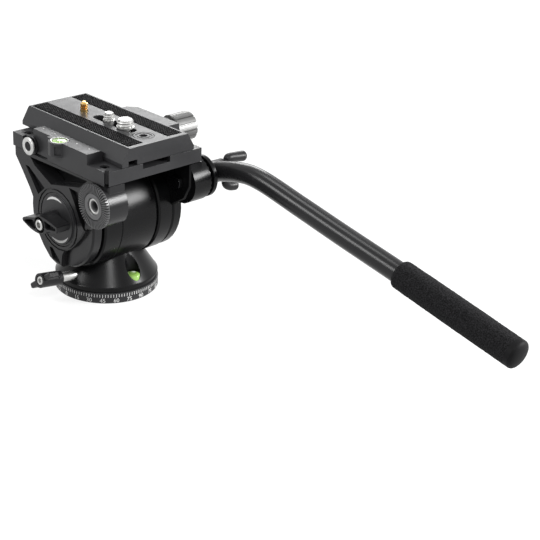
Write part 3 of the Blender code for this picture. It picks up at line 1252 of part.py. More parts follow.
def handle_point(share):
    """Point of the handle's centre line."""
    y, z = share
    return Vector((TUBE_X, BOSS_Y - y * HANDLE_REACH, BOSS_Z + z * HANDLE_REACH))


def frame_between(start, end):
    """Frame at a point whose Z runs toward another."""
    turn = (end - start).to_track_quat("Z", "Y").to_matrix().to_4x4()
    return Matrix.Translation(start) @ turn


def bent_tube(name, points, radius, resolution):
    """Tube on a smooth curve through its points."""
    curve = bpy.data.curves.new(name, "CURVE")
    curve.dimensions = "3D"
    curve.bevel_depth = radius
    curve.bevel_resolution = resolution
    curve.resolution_u = 3
    curve.use_fill_caps = True
    spline = curve.splines.new("BEZIER")
    spline.bezier_points.add(len(points) - 1)
    for knot, place in zip(spline.bezier_points, points):
        knot.co = place
        knot.handle_left_type = "AUTO"
        knot.handle_right_type = "AUTO"
    return mesh_of_curve(name, curve, FACE_Z)


def add_handle(body):
    """Hub with its rosette, bent tube, foam grip and end cap."""
    path = [handle_point(share) for share in TUBE_PATH_SHARES]
    axis_point, bend = path[0], path[1]
    outward = (bend - axis_point).normalized()
    axis = about_x(BOSS_Y, BOSS_Z)
    teeth = rosette_shape(-1, HUB_LEFT + SEAT, BOLT_R + RUN)
    hub = turned("hub_turning", [
        (HUB_BORE_R, HUB_RIGHT), (HUB_NECK_R, HUB_RIGHT), (HUB_NECK_R, HUB_DISC_RIGHT),
        (HUB_DISC_R, HUB_DISC_RIGHT), (HUB_DISC_R, HUB_LEFT), (HUB_BORE_R, HUB_LEFT),
    ], axis, MEDIUM)
    seat = rod("tube_seat", axis_point + outward * (TUBE_SEAT_R - SEAT),
               axis_point + outward * (HUB_DISC_R + HUB_NECK_R), TUBE_R + SEAT, sides=MEDIUM)
    settle(join(cut(hub, seat), teeth), "handle_hub", "black_anodised", body)
    path[0] = axis_point + outward * TUBE_SEAT_R
    grip_start, grip_end = path[-1], handle_point(GRIP_END_SHARES)
    along = (grip_end - grip_start).normalized()
    length = (grip_end - grip_start).length
    path.append(grip_end - along * GRIP_CAP_L)
    settle(bent_tube("tube_path", path, TUBE_R, 3), "handle_tube", "black_anodised", body)
    grip_frame = frame_between(grip_start, grip_end)
    bore = TUBE_R + SEAT
    grip_high = length - GRIP_CAP_L + SEAT
    grip = turned("grip_turning", [
        (bore, grip_high), (GRIP_R, grip_high), (GRIP_R, GRIP_EDGE), (GRIP_R - GRIP_EDGE, 0),
        (bore, 0),
    ], grip_frame, MEDIUM)
    settle(grip, "foam_grip", "foam", body)
    cap_low = grip_high + SEAT
    dome = [(GRIP_R * math.cos(a), length - GRIP_CAP_L / 2 + GRIP_CAP_L / 2 * math.sin(a))
            for a in (math.radians(d) for d in DOME_ANGLES)]
    cap = turned("cap_turning", [(0, length), *dome, (GRIP_R, cap_low), (0, cap_low)],
                 grip_frame, MEDIUM)
    settle(cap, "grip_end_cap", "black_rubber", body)


def add_handle_lock(body):
    """Two-winged knob that clamps the handle's hub against the rosette."""
    axis = about_x(BOSS_Y, BOSS_Z)
    knob = ring("knob_body", 0, HANDLE_KNOB_R, HANDLE_KNOB_LEFT, HANDLE_KNOB_RIGHT, axis,
                MEDIUM, HANDLE_KNOB_R * HANDLE_KNOB_EDGE_SHARE)
    for side in (1, -1):
        lean = Vector((0, math.sin(HANDLE_WING_TURN), math.cos(HANDLE_WING_TURN))) * side
        root = Vector((HANDLE_WING_START, BOSS_Y, BOSS_Z)) + lean * HANDLE_WING_REACH_IN
        tip = Vector((HANDLE_WING_END, BOSS_Y, BOSS_Z)) + lean * HANDLE_WING_REACH_OUT
        join(knob, rod("knob_wing", root, tip, HANDLE_WING_R_IN, HANDLE_WING_R_OUT))
    hole = ring("knob_bore", 0, BOLT_R + RUN, HANDLE_KNOB_LEFT - OVERRUN, BOLT_RIGHT + SEAT, axis,
                SMALL)
    settle(cut(knob, hole), "handle_lock_knob", "black_plastic", body)


def build():
    pan_axis = (0, 0, 0)
    base = body_at("base_body", pan_axis)
    pan = body_at("pan_body", pan_axis, base)
    pan_lock = body_at("pan_lock_body", lock_point(0), pan)
    tilt = body_at("tilt_body", TILT_AXIS, pan)
    tilt_lock = body_at("tilt_lock_body", TILT_AXIS, tilt)
    button = body_at("button_body", (CLAMP_LEFT, BUTTON_Y, BUTTON_Z), tilt)
    jaw = body_at("jaw_body", (CLAMP_RIGHT, JAW_SCREW_Y, JAW_SCREW_Z), tilt)
    knob = body_at("clamp_knob_body", (KNOB_LEFT, JAW_SCREW_Y, JAW_SCREW_Z), jaw)
    plate = body_at("plate_body", (0, 0, PLATE_Z), tilt)
    pin = body_at("video_pin_body", (SLOT_X, VIDEO_PIN_Y, PLATE_TOP), plate)
    handle = body_at("handle_body", BOSS_AXIS, tilt)
    handle_lock = body_at("handle_lock_body", BOSS_AXIS, handle)

    add_base(base)
    add_pan_housing(pan)
    add_pan_details(pan)
    add_pan_lock(pan_lock)
    add_arms(tilt)
    add_tilt_shaft(tilt)
    add_bosses(tilt)
    add_clamp(tilt)
    add_clamp_details(tilt)
    add_tilt_lock(tilt_lock, tilt)
    add_button(button, tilt)
    add_jaw(jaw)
    add_clamp_knob(knob)
    add_plate(plate)
    add_video_pin(pin)
    for size, y, radius in (("quarter", SMALL_SCREW_Y, SMALL_SCREW_R),
                            ("three_eighth", LARGE_SCREW_Y, LARGE_SCREW_R)):
        slider = body_at(size + "_slider_body", (SLOT_X, y, PLATE_TOP), plate)
        screw = body_at(size + "_screw_body", (SLOT_X, y, PLATE_TOP), slider)
        add_camera_screw(slider, screw, size, y, radius)
    add_handle(handle)
    add_handle_lock(handle_lock)


clear_scene()
PARTS = new_collection("fluid_video_head")
CUTTERS = new_collection("fluid_video_head_cutters")
build()
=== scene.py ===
"""Fluid video head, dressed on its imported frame: finishes, marks, teeth, threads and grip."""

import json
import math

import bmesh
import bpy
from bpy.props import FloatProperty, FloatVectorProperty, IntProperty, PointerProperty
from mathutils import Matrix, Vector, noise


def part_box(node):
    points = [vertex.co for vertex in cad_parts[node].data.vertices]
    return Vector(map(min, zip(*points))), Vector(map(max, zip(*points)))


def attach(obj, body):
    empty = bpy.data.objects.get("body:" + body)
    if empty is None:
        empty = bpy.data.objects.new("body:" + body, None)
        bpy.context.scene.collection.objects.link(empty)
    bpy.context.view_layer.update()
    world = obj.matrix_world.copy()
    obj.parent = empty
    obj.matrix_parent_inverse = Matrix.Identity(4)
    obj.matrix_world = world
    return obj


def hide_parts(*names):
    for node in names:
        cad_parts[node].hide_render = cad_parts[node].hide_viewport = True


bl_info = {
    "name": "Fluid Video Head",
    "version": (1, 0, 0),
    "blender": (4, 5, 0),
    "location": "View3D > Sidebar > Video Head",
    "description": "Finishes and fine pieces of a fluid pan and tilt head",
    "category": "Object",
}

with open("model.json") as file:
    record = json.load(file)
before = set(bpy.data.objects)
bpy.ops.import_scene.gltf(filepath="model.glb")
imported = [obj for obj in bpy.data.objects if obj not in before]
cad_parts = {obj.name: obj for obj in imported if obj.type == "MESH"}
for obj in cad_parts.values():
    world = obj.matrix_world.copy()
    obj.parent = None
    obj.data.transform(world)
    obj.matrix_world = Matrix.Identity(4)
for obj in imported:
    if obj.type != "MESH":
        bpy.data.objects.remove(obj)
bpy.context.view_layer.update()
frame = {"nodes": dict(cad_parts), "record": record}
NODES = frame["nodes"]

# Frames whose Z runs along the world's X, -X and Z
FACE_X = Matrix(((0, 0, 1, 0), (1, 0, 0, 0), (0, 1, 0, 0), (0, 0, 0, 1)))
FACE_LEFT = Matrix(((0, 0, -1, 0), (-1, 0, 0, 0), (0, 1, 0, 0), (0, 0, 0, 1)))
FACE_Z = Matrix.Identity(4)

# Places on the head, in metres
TILT_Z = 0.04825
BOSS = Vector((0, -0.0366, 0.0686))
PAN_LOCK = Vector((-0.0270, -0.0035, 0.0131))
PAN_LOCK_RISE = math.radians(8.5)
SLOT_X = -0.0010
PLATE_TOP = 0.1001
PIN_Y = 0.0187
LEVEL = Vector((-0.0338, -0.0022, 0.0955))
PAN_LEVEL = Vector((0, -0.0240, 0.0139))
BASE_R, BASE_H, BASE_EDGE = 0.0300, 0.0062, 0.0005
BASE_SCREW_R = 0.0218      # of the circle that the base's screws stand on
SCALE_TURN = 2.3           # degrees from the world's X to a number of the pan scale
NUMBER_STEP = 15           # degrees between two numbers

SMOOTH_ANGLE = math.radians(40)
MERGE = 0.000002
PREFIX = "head_"   # of the finishes' names, which keeps them apart from the frame's own


# Mesh tools

def at(x, y, z):
    return Matrix.Translation((x, y, z))


def about_x(y, z, left=False):
    """Frame on an axis along X, with its Z to the right or to the left."""
    return at(0, y, z) @ (FACE_LEFT if left else FACE_X)


def facing(spot, way):
    """Frame at a spot, with its Z along a way."""
    return Matrix.Translation(spot) @ way.to_track_quat("Z", "Y").to_matrix().to_4x4()


def polar(radius, turn, *rest):
    """Point at a radius and an angle, and at a height where one is given."""
    return (radius * math.cos(turn), radius * math.sin(turn), *rest)


def smooth(mesh, angle=SMOOTH_ANGLE):
    mesh.shade_smooth()
    mesh.set_sharp_from_angle(angle=angle)


def mesh_of(bm, name, angle=SMOOTH_ANGLE, outward=True):
    """Mesh of a bmesh; without an angle its faces stay flat."""
    if outward:
        bmesh.ops.recalc_face_normals(bm, faces=bm.faces)
    mesh = bpy.data.meshes.new(name)
    bm.to_mesh(mesh)
    bm.free()
    if angle:
        smooth(mesh, angle)
    return mesh


def skin(bm, low, high):
    """Faces between two closed rows of vertices, of which one may be a tip."""
    steps = max(len(low), len(high))
    for i in range(steps):
        j = (i + 1) % steps
        corners = dict.fromkeys((low[i % len(low)], low[j % len(low)], high[j % len(high)],
                                 high[i % len(high)]))
        if len(corners) > 2:
            bm.faces.new(list(corners))


def add_object(name, data, place=FACE_Z):
    """Object of a mesh, text, lamp or camera, in the scene."""
    made = bpy.data.objects.new(name, data)
    bpy.context.scene.collection.objects.link(made)
    made.matrix_world = place
    return made


def new_piece(name, mesh, material, place=FACE_Z):
    """Object of a mesh, with a finish by its name."""
    mesh.materials.clear()
    mesh.materials.append(bpy.data.materials[PREFIX + material])
    return add_object(name, mesh, place)


def finish_of(piece):
    return piece.data.materials[0].name.removeprefix(PREFIX)


def made_mesh(piece):
    """New mesh of a piece, or a text, with its modifiers."""
    graph = bpy.context.evaluated_depsgraph_get()
    return bpy.data.meshes.new_from_object(piece.evaluated_get(graph))


def settle(piece):
    """Put a piece's modifiers into its mesh, normals and all."""
    mesh = made_mesh(piece)
    piece.modifiers.clear()
    old, piece.data = piece.data, mesh
    bpy.data.meshes.remove(old)
    mesh.name = piece.name
    return piece


def weigh(piece):
    """Let the large faces of a piece lead its normals."""
    piece.modifiers.new("Normals", "WEIGHTED_NORMAL").keep_sharp = True
    return settle(piece)


def round_edges(piece, width, segments=2, angle=SMOOTH_ANGLE):
    """Round the sharp edges of a piece."""
    bevel = piece.modifiers.new("Edges", "BEVEL")
    bevel.width = width
    bevel.segments = segments
    bevel.limit_method = "ANGLE"
    bevel.angle_limit = angle
    bevel.harden_normals = True
    return weigh(piece)


def cut_away(piece, *tools):
    """Cut closed tools out of a piece, and drop them."""
    for tool in tools:
        modifier = piece.modifiers.new("Cut", "BOOLEAN")
        modifier.operation = "DIFFERENCE"
        modifier.solver = "EXACT"
        modifier.object = tool
    settle(piece)
    smooth(piece.data)
    for tool in tools:
        bpy.data.objects.remove(tool)
    return piece


def lathe(name, profile, material, place=FACE_Z, steps=96, edge=0.0, closed=False):
    """Turned piece: (radius, height) points about the place's Z."""
    bm = bmesh.new()
    rings = []
    for radius, height in profile:
        count = steps if radius > 0 else 1
        rings.append([bm.verts.new(polar(radius, math.tau * i / steps, height))
                      for i in range(count)])
    for low, high in zip(rings, rings[1:] + rings[:closed]):
        skin(bm, low, high)
    piece = new_piece(name, mesh_of(bm, name), material, place)
    return round_edges(piece, edge, 3) if edge else piece


def slab(name, outline, low, high, material, place=FACE_Z):
    """Flat piece with a closed outline of (x, y) points."""
    bm = bmesh.new()
    floor, roof = ([bm.verts.new((x, y, z)) for x, y in outline] for z in (low, high))
    bm.faces.new(floor[::-1])
    bm.faces.new(roof)
    skin(bm, floor, roof)
    return new_piece(name, mesh_of(bm, name), material, place)


def tube_along(name, points, radius, material, steps, share):
    """Tube through points; share gives its radius as a share along the way."""
    bm = bmesh.new()
    rings = []
    side = Vector((1, 0, 0))
    for k, point in enumerate(points):
        before, after = points[max(0, k - 1)], points[min(len(points) - 1, k + 1)]
        ahead = (after - before).normalized()
        side = (side - ahead * side.dot(ahead)).normalized()
        up = ahead.cross(side)
        r = radius * share(k / (len(points) - 1))
        rings.append([
            bm.verts.new(point + side * r * math.cos(math.tau * i / steps)
                         + up * r * math.sin(math.tau * i / steps))
            for i in range(steps)
        ])
    for low, high in zip(rings, rings[1:]):
        skin(bm, low, high)
    bm.faces.new(rings[0][::-1])
    bm.faces.new(rings[-1])
    return new_piece(name, mesh_of(bm, name), material)


def thread_coil(name, radius, low, high, pitch, depth, place, inward=False, steps=36):
    """Ridge of a screw thread, a triangle that winds about the place's Z."""
    bm = bmesh.new()
    count = int((high - low) / pitch * steps)
    run_out = steps / 2
    side = -1 if inward else 1
    foot = radius - side * 0.00003      # sunk a little into its stem
    flank = pitch * 0.42
    rings = []
    for i in range(count + 1):
        middle = low + (high - low) * i / count
        fade = min(1, i / run_out, (count - i) / run_out)
        profile = (foot, -flank), (radius + side * depth * fade, 0), (foot, flank)
        rings.append([bm.verts.new(polar(r, math.tau * i / steps, min(high, max(low, middle + z))))
                      for r, z in profile])
    for below, above in zip(rings, rings[1:]):
        skin(bm, below, above)
    return new_piece(name, mesh_of(bm, name), "steel", place)


def unite(pieces, name):
    """Make one piece of several that are in place."""
    bm = bmesh.new()
    for piece in pieces:
        mesh = piece.data.copy()
        mesh.transform(piece.matrix_world)
        bm.from_mesh(mesh)
        bpy.data.meshes.remove(mesh)
    mesh = mesh_of(bm, name, None, False)
    material = finish_of(pieces[0])
    for piece in pieces:
        bpy.data.objects.remove(piece)
    # Only some of the pieces may have it, and then it is wrong for the others
    if "custom_normal" in mesh.attributes:
        mesh.attributes.remove(mesh.attributes["custom_normal"])
    smooth(mesh)
    return weigh(new_piece(name, mesh, material))


def carry(piece, body, *nodes):
    """Let a piece move with a body, and stand for the nodes that it is a finer form of."""
    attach(piece, body)
    if nodes:
        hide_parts(*nodes)
    return piece


def turn_out(name, material, place, profile, body, *node_names, **how):
    """Turned piece that moves with a body, and may be a finer form of a node."""
    return carry(lathe(name, profile, material, place, **how), body, *node_names)


def finer(node_name, name, material, edge, body, *tools):
    """Finer form of a node: the same solid, less the tools, with rounded edges."""
    bm = bmesh.new()
    bm.from_mesh(NODES[node_name].data)
    bmesh.ops.remove_doubles(bm, verts=bm.verts, dist=MERGE)
    bmesh.ops.dissolve_limit(bm, angle_limit=math.radians(0.5), verts=bm.verts, edges=bm.edges)
    piece = new_piece(name, mesh_of(bm, name), material)
    if tools:
        cut_away(piece, *tools)
    return carry(round_edges(piece, edge), body, node_name)


def socket(radius, depth, place):
    """Hexagon cutter that goes down into a face from just above it."""
    outline = [polar(radius, math.tau * i / 6) for i in range(6)]
    return slab("hexagon", outline, -depth, depth, "steel", place)


def hex_screw(name, material, place, profile, face, radius, depth, steps=48):
    """Turned screw with a hexagon socket in its face, at a height on the place's Z."""
    head = lathe(name, profile, material, place, steps=steps)
    return cut_away(head, socket(radius, depth, place @ at(0, 0, face)))


def mark_mesh(name, faces):
    """Thin painted marks: a list of faces, each a list of points."""
    bm = bmesh.new()
    for face in faces:
        bm.faces.new([bm.verts.new(point) for point in face])
    return new_piece(name, mesh_of(bm, name, None, False), "paint")


def smooth_path(points, count=12):
    """Points on a smooth curve through the given ones."""
    path = []
    ends = [2 * points[0] - points[1], *points, 2 * points[-1] - points[-2]]
    for spots in zip(ends, ends[1:], ends[2:], ends[3:]):
        path += bend(*spots, count)
    return path + [points[-1]]


def smooth_ring(points, count=5):
    """Closed outline that bends smoothly through the given points."""
    path = []
    for k in range(len(points)):
        path += bend(*(Vector(points[(k + i) % len(points)]) for i in range(4)), count)
    return [(spot.x, spot.y) for spot in path]


def bend(a, b, c, d, count):
    """Points from b on toward c, on the smooth curve through four points."""
    return [
        0.5 * (2 * b + (c - a) * t + (2 * a - 5 * b + 4 * c - d) * t * t
               + (3 * b - a - 3 * c + d) * t ** 3)
        for t in (i / count for i in range(count))
    ]


# Finishes

# Frame's slot of each finish; the first of a slot goes to the nodes that stay as they are
SLOTS = {
    "anodised": "black_anodised", "gloss": "gloss_black", "plastic": "black_plastic",
    "rubber": "black_rubber", "foam": "foam", "steel": "steel", "brass": "brass",
    "nylon": "nylon", "fluid": "level_fluid", "satin": "black_anodised",
    "turned": "black_anodised", "dark_steel": "steel",
    "knob_steel": "steel", "cap": "black_rubber",
}
TURNING = 0.00035          # distance of the turning lines on bare metal
BUBBLE = (0.80, 0.93, 0.72)
LEVEL_LINE = (0.012, 0.020, 0.022)


def colour(name, description, value):
    return FloatVectorProperty(name=name, description=description, subtype="COLOR", size=3,
                               default=value)


def factor(name, description, value):
    return FloatProperty(name=name, description=description, default=value, subtype="FACTOR")


def length(name, description, value, **limits):
    return FloatProperty(name=name, description=description, unit="LENGTH", default=value,
                         **{"precision": 5, **limits})


class HeadFinishes(bpy.types.PropertyGroup):
    """Colours and surface values of the head's finishes"""

    anodised: colour("Anodised", "Colour of the satin black metal", (0.026, 0.026, 0.0275))
    anodised_rough: factor("Anodised roughness", "Roughness of the satin black metal", 0.40)
    gloss: colour("Polished", "Colour of the polished black metal", (0.004, 0.004, 0.0044))
    gloss_rough: factor("Polished roughness", "Roughness of the polished black metal", 0.28)
    satin: colour("Satin", "Colour of the left arm and the tube", (0.016, 0.016, 0.017))
    satin_rough: factor("Satin roughness", "Roughness of the left arm and the tube", 0.25)
    # Painted highlight: the rosette and the bush's lining get a metal painted lighter than the
    # arm's, standing in for the light on the teeth.
    turned: colour("Turned", "Colour of the rosette's freshly cut metal", (0.085, 0.085, 0.087))
    plastic: colour("Plastic", "Colour of the moulded knobs", (0.010, 0.010, 0.011))
    rubber: colour("Rubber", "Colour of the plate's strips", (0.006, 0.006, 0.0065))
    foam: colour("Foam", "Colour of the grip", (0.0035, 0.0035, 0.0037))
    steel: colour("Steel", "Colour of the bare metal", (0.50, 0.50, 0.49))
    dark_steel: colour("Black steel", "Colour of the cap screws", (0.045, 0.045, 0.047))
    # Painted shade: the clamp knob's steel is a darker copy of the bare steel, standing in for the
    # darker light it reflects.
    knob_steel: colour("Knob steel", "Colour of the clamp knob", (0.17, 0.17, 0.168))
    brass: colour("Brass", "Colour of the video pin", (0.72, 0.47, 0.17))
    nylon: colour("Nylon", "Colour of the inner rings", (0.78, 0.77, 0.72))
    fluid: colour("Level fluid", "Colour of the fluid in the levels", (0.34, 0.60, 0.12))
    paint: colour("Marks", "Colour of scale, numbers and arrows", (0.80, 0.80, 0.79))


def add_group(name, inputs, *outputs):
    """Empty node group with its sockets: inputs by name and default, outputs by name."""
    group = bpy.data.node_groups.new(name, "ShaderNodeTree")
    for titles, way in ((inputs, "INPUT"), (outputs, "OUTPUT")):
        for title in titles:
            kind = "NodeSocketColor" if title == "Colour" else "NodeSocketFloat"
            made = group.interface.new_socket(name=title, in_out=way, socket_type=kind)
            if way == "INPUT":
                made.default_value = inputs[title]
    return (group, group.nodes.new("NodeGroupInput").outputs,
            group.nodes.new("NodeGroupOutput").inputs)


def node(tree, kind, inputs=None, **settings):
    """Node with its settings and input values or links."""
    made = tree.nodes.new(kind)
    for key, value in settings.items():
        setattr(made, key, value)
    for key, value in (inputs or {}).items():
        if isinstance(value, bpy.types.NodeSocket):
            tree.links.new(value, made.inputs[key])
        else:
            made.inputs[key].default_value = value
    return made


def calc(tree, operation, a, b, **settings):
    return node(tree, "ShaderNodeMath", {0: a, 1: b}, operation=operation, **settings).outputs[0]


def times(tree, tint, value):
    """Colour made lighter or darker by a value."""
    return node(tree, "ShaderNodeVectorMath", {0: tint, "Scale": value},
                operation="SCALE").outputs[0]


def remap(tree, value, low, high, start=0.0, end=1.0, **settings):
    """Value that runs from low to high while the given one runs from start to end."""
    return node(tree, "ShaderNodeMapRange", {
        "Value": value, "From Min": start, "From Max": end, "To Min": low, "To Max": high,
    }, **settings).outputs[0]


def position(tree):
    """Place in the object's own frame, which moves with it."""
    return node(tree, "ShaderNodeTexCoord").outputs["Object"]


def cloud(tree, scale, detail=2.0, rough=0.5, vector=None):
    """Noise, over the object's own place unless another vector is given."""
    return node(tree, "ShaderNodeTexNoise", {
        "Vector": position(tree) if vector is None else vector, "Scale": scale,
        "Detail": detail, "Roughness": rough}).outputs["Fac"]


def uneven(group, source, value):
    """Factor that swings about one with a cloud, and the roughness that follows it."""
    amount = calc(group, "MULTIPLY", remap(group, value, -1.0, 1.0, 0.3, 0.7),
                  source["Variation"])
    share = calc(group, "ADD", amount, 1.0)
    return share, calc(group, "MULTIPLY", source["Roughness"], share, use_clamp=True)


def feed(tree, sink, **sockets):
    """Link values to sockets by name."""
    for title, value in sockets.items():
        tree.links.new(value, sink[title])


def fine_grain_group():
    """Blasted surface: a cloudy colour share, a roughness and a fine height."""
    group, source, sink = add_group(
        "Fine grain",
        {"Colour": (0.01, 0.01, 0.01, 1), "Roughness": 0.3, "Size": 0.0004, "Variation": 0.15},
        "Colour", "Roughness", "Height")
    grain = cloud(group, calc(group, "DIVIDE", 1.0, source["Size"]), 3.0, 0.6)
    share, rough = uneven(group, source, cloud(group, 55.0, 4.0, 0.55))
    feed(group, sink, Colour=times(group, source["Colour"], share), Roughness=rough,
         Height=grain)


def turned_lines_group():
    """Fine lathe lines round an axis, on metal of an uneven tone."""
    group, source, sink = add_group(
        "Turned lines",
        {"Colour": (0.6, 0.6, 0.6, 1), "Axis distance": 0.0, "Pitch": 0.0004,
         "Roughness": 0.25, "Variation": 0.3},
        "Colour", "Roughness", "Height")
    tone = remap(group, cloud(group, 300.0, 3.0), 0.8, 1.15)
    across = node(group, "ShaderNodeCombineXYZ", {
        "X": calc(group, "DIVIDE", source["Axis distance"], source["Pitch"])}).outputs[0]
    lines = cloud(group, 1.0, vector=across)
    feed(group, sink, Colour=times(group, source["Colour"], tone),
         Roughness=uneven(group, source, lines)[1], Height=lines)


def studs_group():
    """Rows of small round studs, with their tops painted lighter as a painted highlight, for
    strips and knurled pads.
    """
    group, source, sink = add_group(
        "Studs", {"Colour": (0.03, 0.03, 0.03, 1), "Pitch": 0.0009}, "Colour", "Height")
    turn = node(group, "ShaderNodeVectorRotate", {
        "Vector": position(group), "Angle": math.radians(45)}, rotation_type="Z_AXIS")
    cells = node(group, "ShaderNodeTexVoronoi", {
        "Vector": turn.outputs[0], "Scale": calc(group, "DIVIDE", 1.0, source["Pitch"]),
        "Randomness": 0.0}, voronoi_dimensions="2D")
    top = remap(group, cells.outputs["Distance"], 0.0, 1.0, 0.45, 0.20,
                interpolation_type="SMOOTHSTEP")
    # Painted highlight: the colour grows lighter toward each stud's top.
    feed(group, sink, Colour=times(group, source["Colour"], remap(group, top, 0.45, 1.5)),
         Height=top)


def new_finish(name, **values):
    """Node tree and shader of a new material, with the shader's constant values."""
    material = bpy.data.materials.new(PREFIX + name)
    material.use_nodes = True
    shader = material.node_tree.nodes["Principled BSDF"]
    for key, value in values.items():
        shader.inputs[key.replace("_", " ")].default_value = value
    return material.node_tree, shader


def dress(tree, shader, tint, rough, height=None, distance=0.0):
    """Link a finish's textures to its shader."""
    feed(tree, shader.inputs, **{"Base Color": tint, "Roughness": rough})
    if height is not None:
        made = node(tree, "ShaderNodeBump", {"Height": height, "Distance": distance,
                                             "Strength": 1.0})
        feed(tree, shader.inputs, Normal=made.outputs[0])


def place_group(tree, name, **values):
    """Outputs of a node group in a tree, with its input values or links."""
    return node(tree, "ShaderNodeGroup",
                {key.replace("_", " "): value for key, value in values.items()},
                node_tree=bpy.data.node_groups[name]).outputs


def grained(name, tint, rough, size, variation, distance, specular=0.5, coat=0.0):
    """Finish of a blasted, moulded or polished surface."""
    tree, shader = new_finish(name, Specular_IOR_Level=specular, Coat_Weight=coat)
    grain = place_group(tree, "Fine grain", Colour=(*tint, 1), Roughness=rough, Size=size,
                        Variation=variation)
    dress(tree, shader, grain["Colour"], grain["Roughness"], grain["Height"], distance)


def turned_metal(name, tint, rough):
    """Bare metal with fine turning lines across its length."""
    tree, shader = new_finish(name, Metallic=1.0)
    spread = node(tree, "ShaderNodeVectorMath", {0: position(tree)}, operation="LENGTH")
    lines = place_group(tree, "Turned lines", Colour=(*tint, 1), Pitch=TURNING,
                        Axis_distance=spread.outputs["Value"], Roughness=rough, Variation=0.35)
    dress(tree, shader, lines["Colour"], lines["Roughness"], lines["Height"], 0.00002)


def foam_finish(tint):
    """Closed cell foam: pores of two sizes, with pale flecks."""
    tree, shader = new_finish("foam", Specular_IOR_Level=0.10)
    pores = node(tree, "ShaderNodeTexVoronoi", {"Vector": position(tree), "Scale": 1300.0})
    coarse = cloud(tree, 1500.0, 2.0, 0.6)
    height = calc(tree, "ADD", pores.outputs["Distance"], coarse)
    dress(tree, shader, times(tree, tint, remap(tree, coarse, 0.8, 8.0, 0.36, 0.70)),
          remap(tree, coarse, 0.75, 1.0), height, 0.00022)


def rubber_finish(tint):
    """Rubber with rows of studs, which shine a little at the top, where a painted highlight also
    lightens their colour.
    """
    tree, shader = new_finish("rubber", Specular_IOR_Level=0.04)
    studs = place_group(tree, "Studs", Colour=(*tint, 1), Pitch=0.0010)
    dress(tree, shader, studs["Colour"], remap(tree, studs["Height"], 0.9, 0.55),
          studs["Height"], 0.0003)


def fluid_finish(tint):
    """Bright level fluid of an uneven tone."""
    tree, shader = new_finish("fluid", Coat_Weight=1.0, Coat_Roughness=0.03)
    haze = cloud(tree, 260.0)
    dress(tree, shader, times(tree, tint, remap(tree, haze, 0.75, 1.2)),
          remap(tree, haze, 0.12, 0.3))


class HEAD_OT_finishes(bpy.types.Operator):
    """Make the finishes of the head, and give them to the nodes that stay as they are"""

    bl_idname = "head.finishes"
    bl_label = "Finishes"

    def execute(self, context):
        values = context.scene.head_finishes
        fine_grain_group()
        turned_lines_group()
        studs_group()
        # Name, colour, roughness, size, variation and height of the grain, shine and coat
        for row in (
                ("anodised", values.anodised, values.anodised_rough, 0.00025, 0.12, 0.000012,
                 0.24),
                ("satin", values.satin, values.satin_rough, 0.00025, 0.12, 0.000008, 0.22),
                # This row is a lighter copy of the anodised metal, a painted highlight for the
                # rosette's teeth.
                ("turned", values.turned, 0.30, 0.00025, 0.10, 0.000004),
                ("gloss", values.gloss, values.gloss_rough, 0.0006, 0.10, 0.000002, 0.15),
                ("plastic", values.plastic, 0.36, 0.00035, 0.12, 0.00002, 0.25),
                ("paint", values.paint, 0.55, 0.0003, 0.06, 0.000008),
                ("cap", values.rubber, 0.6, 0.0004, 0.10, 0.00001, 0.1),
                ("bubble", BUBBLE, 0.12, 0.002, 0.1, 0.000001, 0.5, 0.8),
                ("line", LEVEL_LINE, 0.35, 0.0005, 0.1, 0.000004),
                ("nylon", values.nylon, 0.5, 0.0005, 0.08, 0.00001)):
            grained(*row)
        # The clamp knob's steel is the same steel painted darker, a painted shade.
        for name, rough in (("steel", 0.40), ("dark_steel", 0.30), ("knob_steel", 0.50),
                            ("brass", 0.26)):
            turned_metal(name, getattr(values, name), rough)
        foam_finish(values.foam)
        rubber_finish(values.rubber)
        fluid_finish(values.fluid)
        given = {}
        for name, slot_name in SLOTS.items():
            given.setdefault(slot_name, name)
        for entry in frame["record"]["subparts"]:
            mesh = NODES[entry["node"]].data
            mesh.materials.clear()
            mesh.materials.append(bpy.data.materials[PREFIX + given[entry["material_slot"]]])
        return {"FINISHED"}


class HeadSizes(bpy.types.PropertyGroup):
    """Sizes of the fine pieces that the solids leave out"""

    edge: length("Edge rounding", "Rounding of the machined edges", 0.00030, min=0.00005)
    teeth: IntProperty(
        name="Rosette teeth", description="Teeth of a rosette", default=52, min=12)
    scale_step: IntProperty(
        name="Scale step", description="Degrees between two ticks of the pan scale", default=3,
        min=1)
    tick: length("Tick length", "Length of a tick of the pan scale", 0.0018)
    number: length("Number height", "Height of the numbers of the pan scale", 0.0034)
    pitch: length("Thread pitch", "Pitch of the camera screws' threads", 0.00127)
    ribs: IntProperty(
        name="Knob ribs", description="Ribs of the clamp knob", default=14, min=8)
    foam_relief: length("Foam relief", "Unevenness of the grip's surface", 0.00012, precision=6)


def sizes():
    return bpy.context.scene.head_sizes


def letters(text, size):
    """Flat mesh of a text, centred on its own middle."""
    curve = bpy.data.curves.new("number", "FONT")
    curve.body = text
    curve.size = size
    curve.align_x = "CENTER"
    curve.resolution_u = 3
    guide = add_object("number", curve)
    mesh = made_mesh(guide)
    bpy.data.objects.remove(guide)
    return mesh


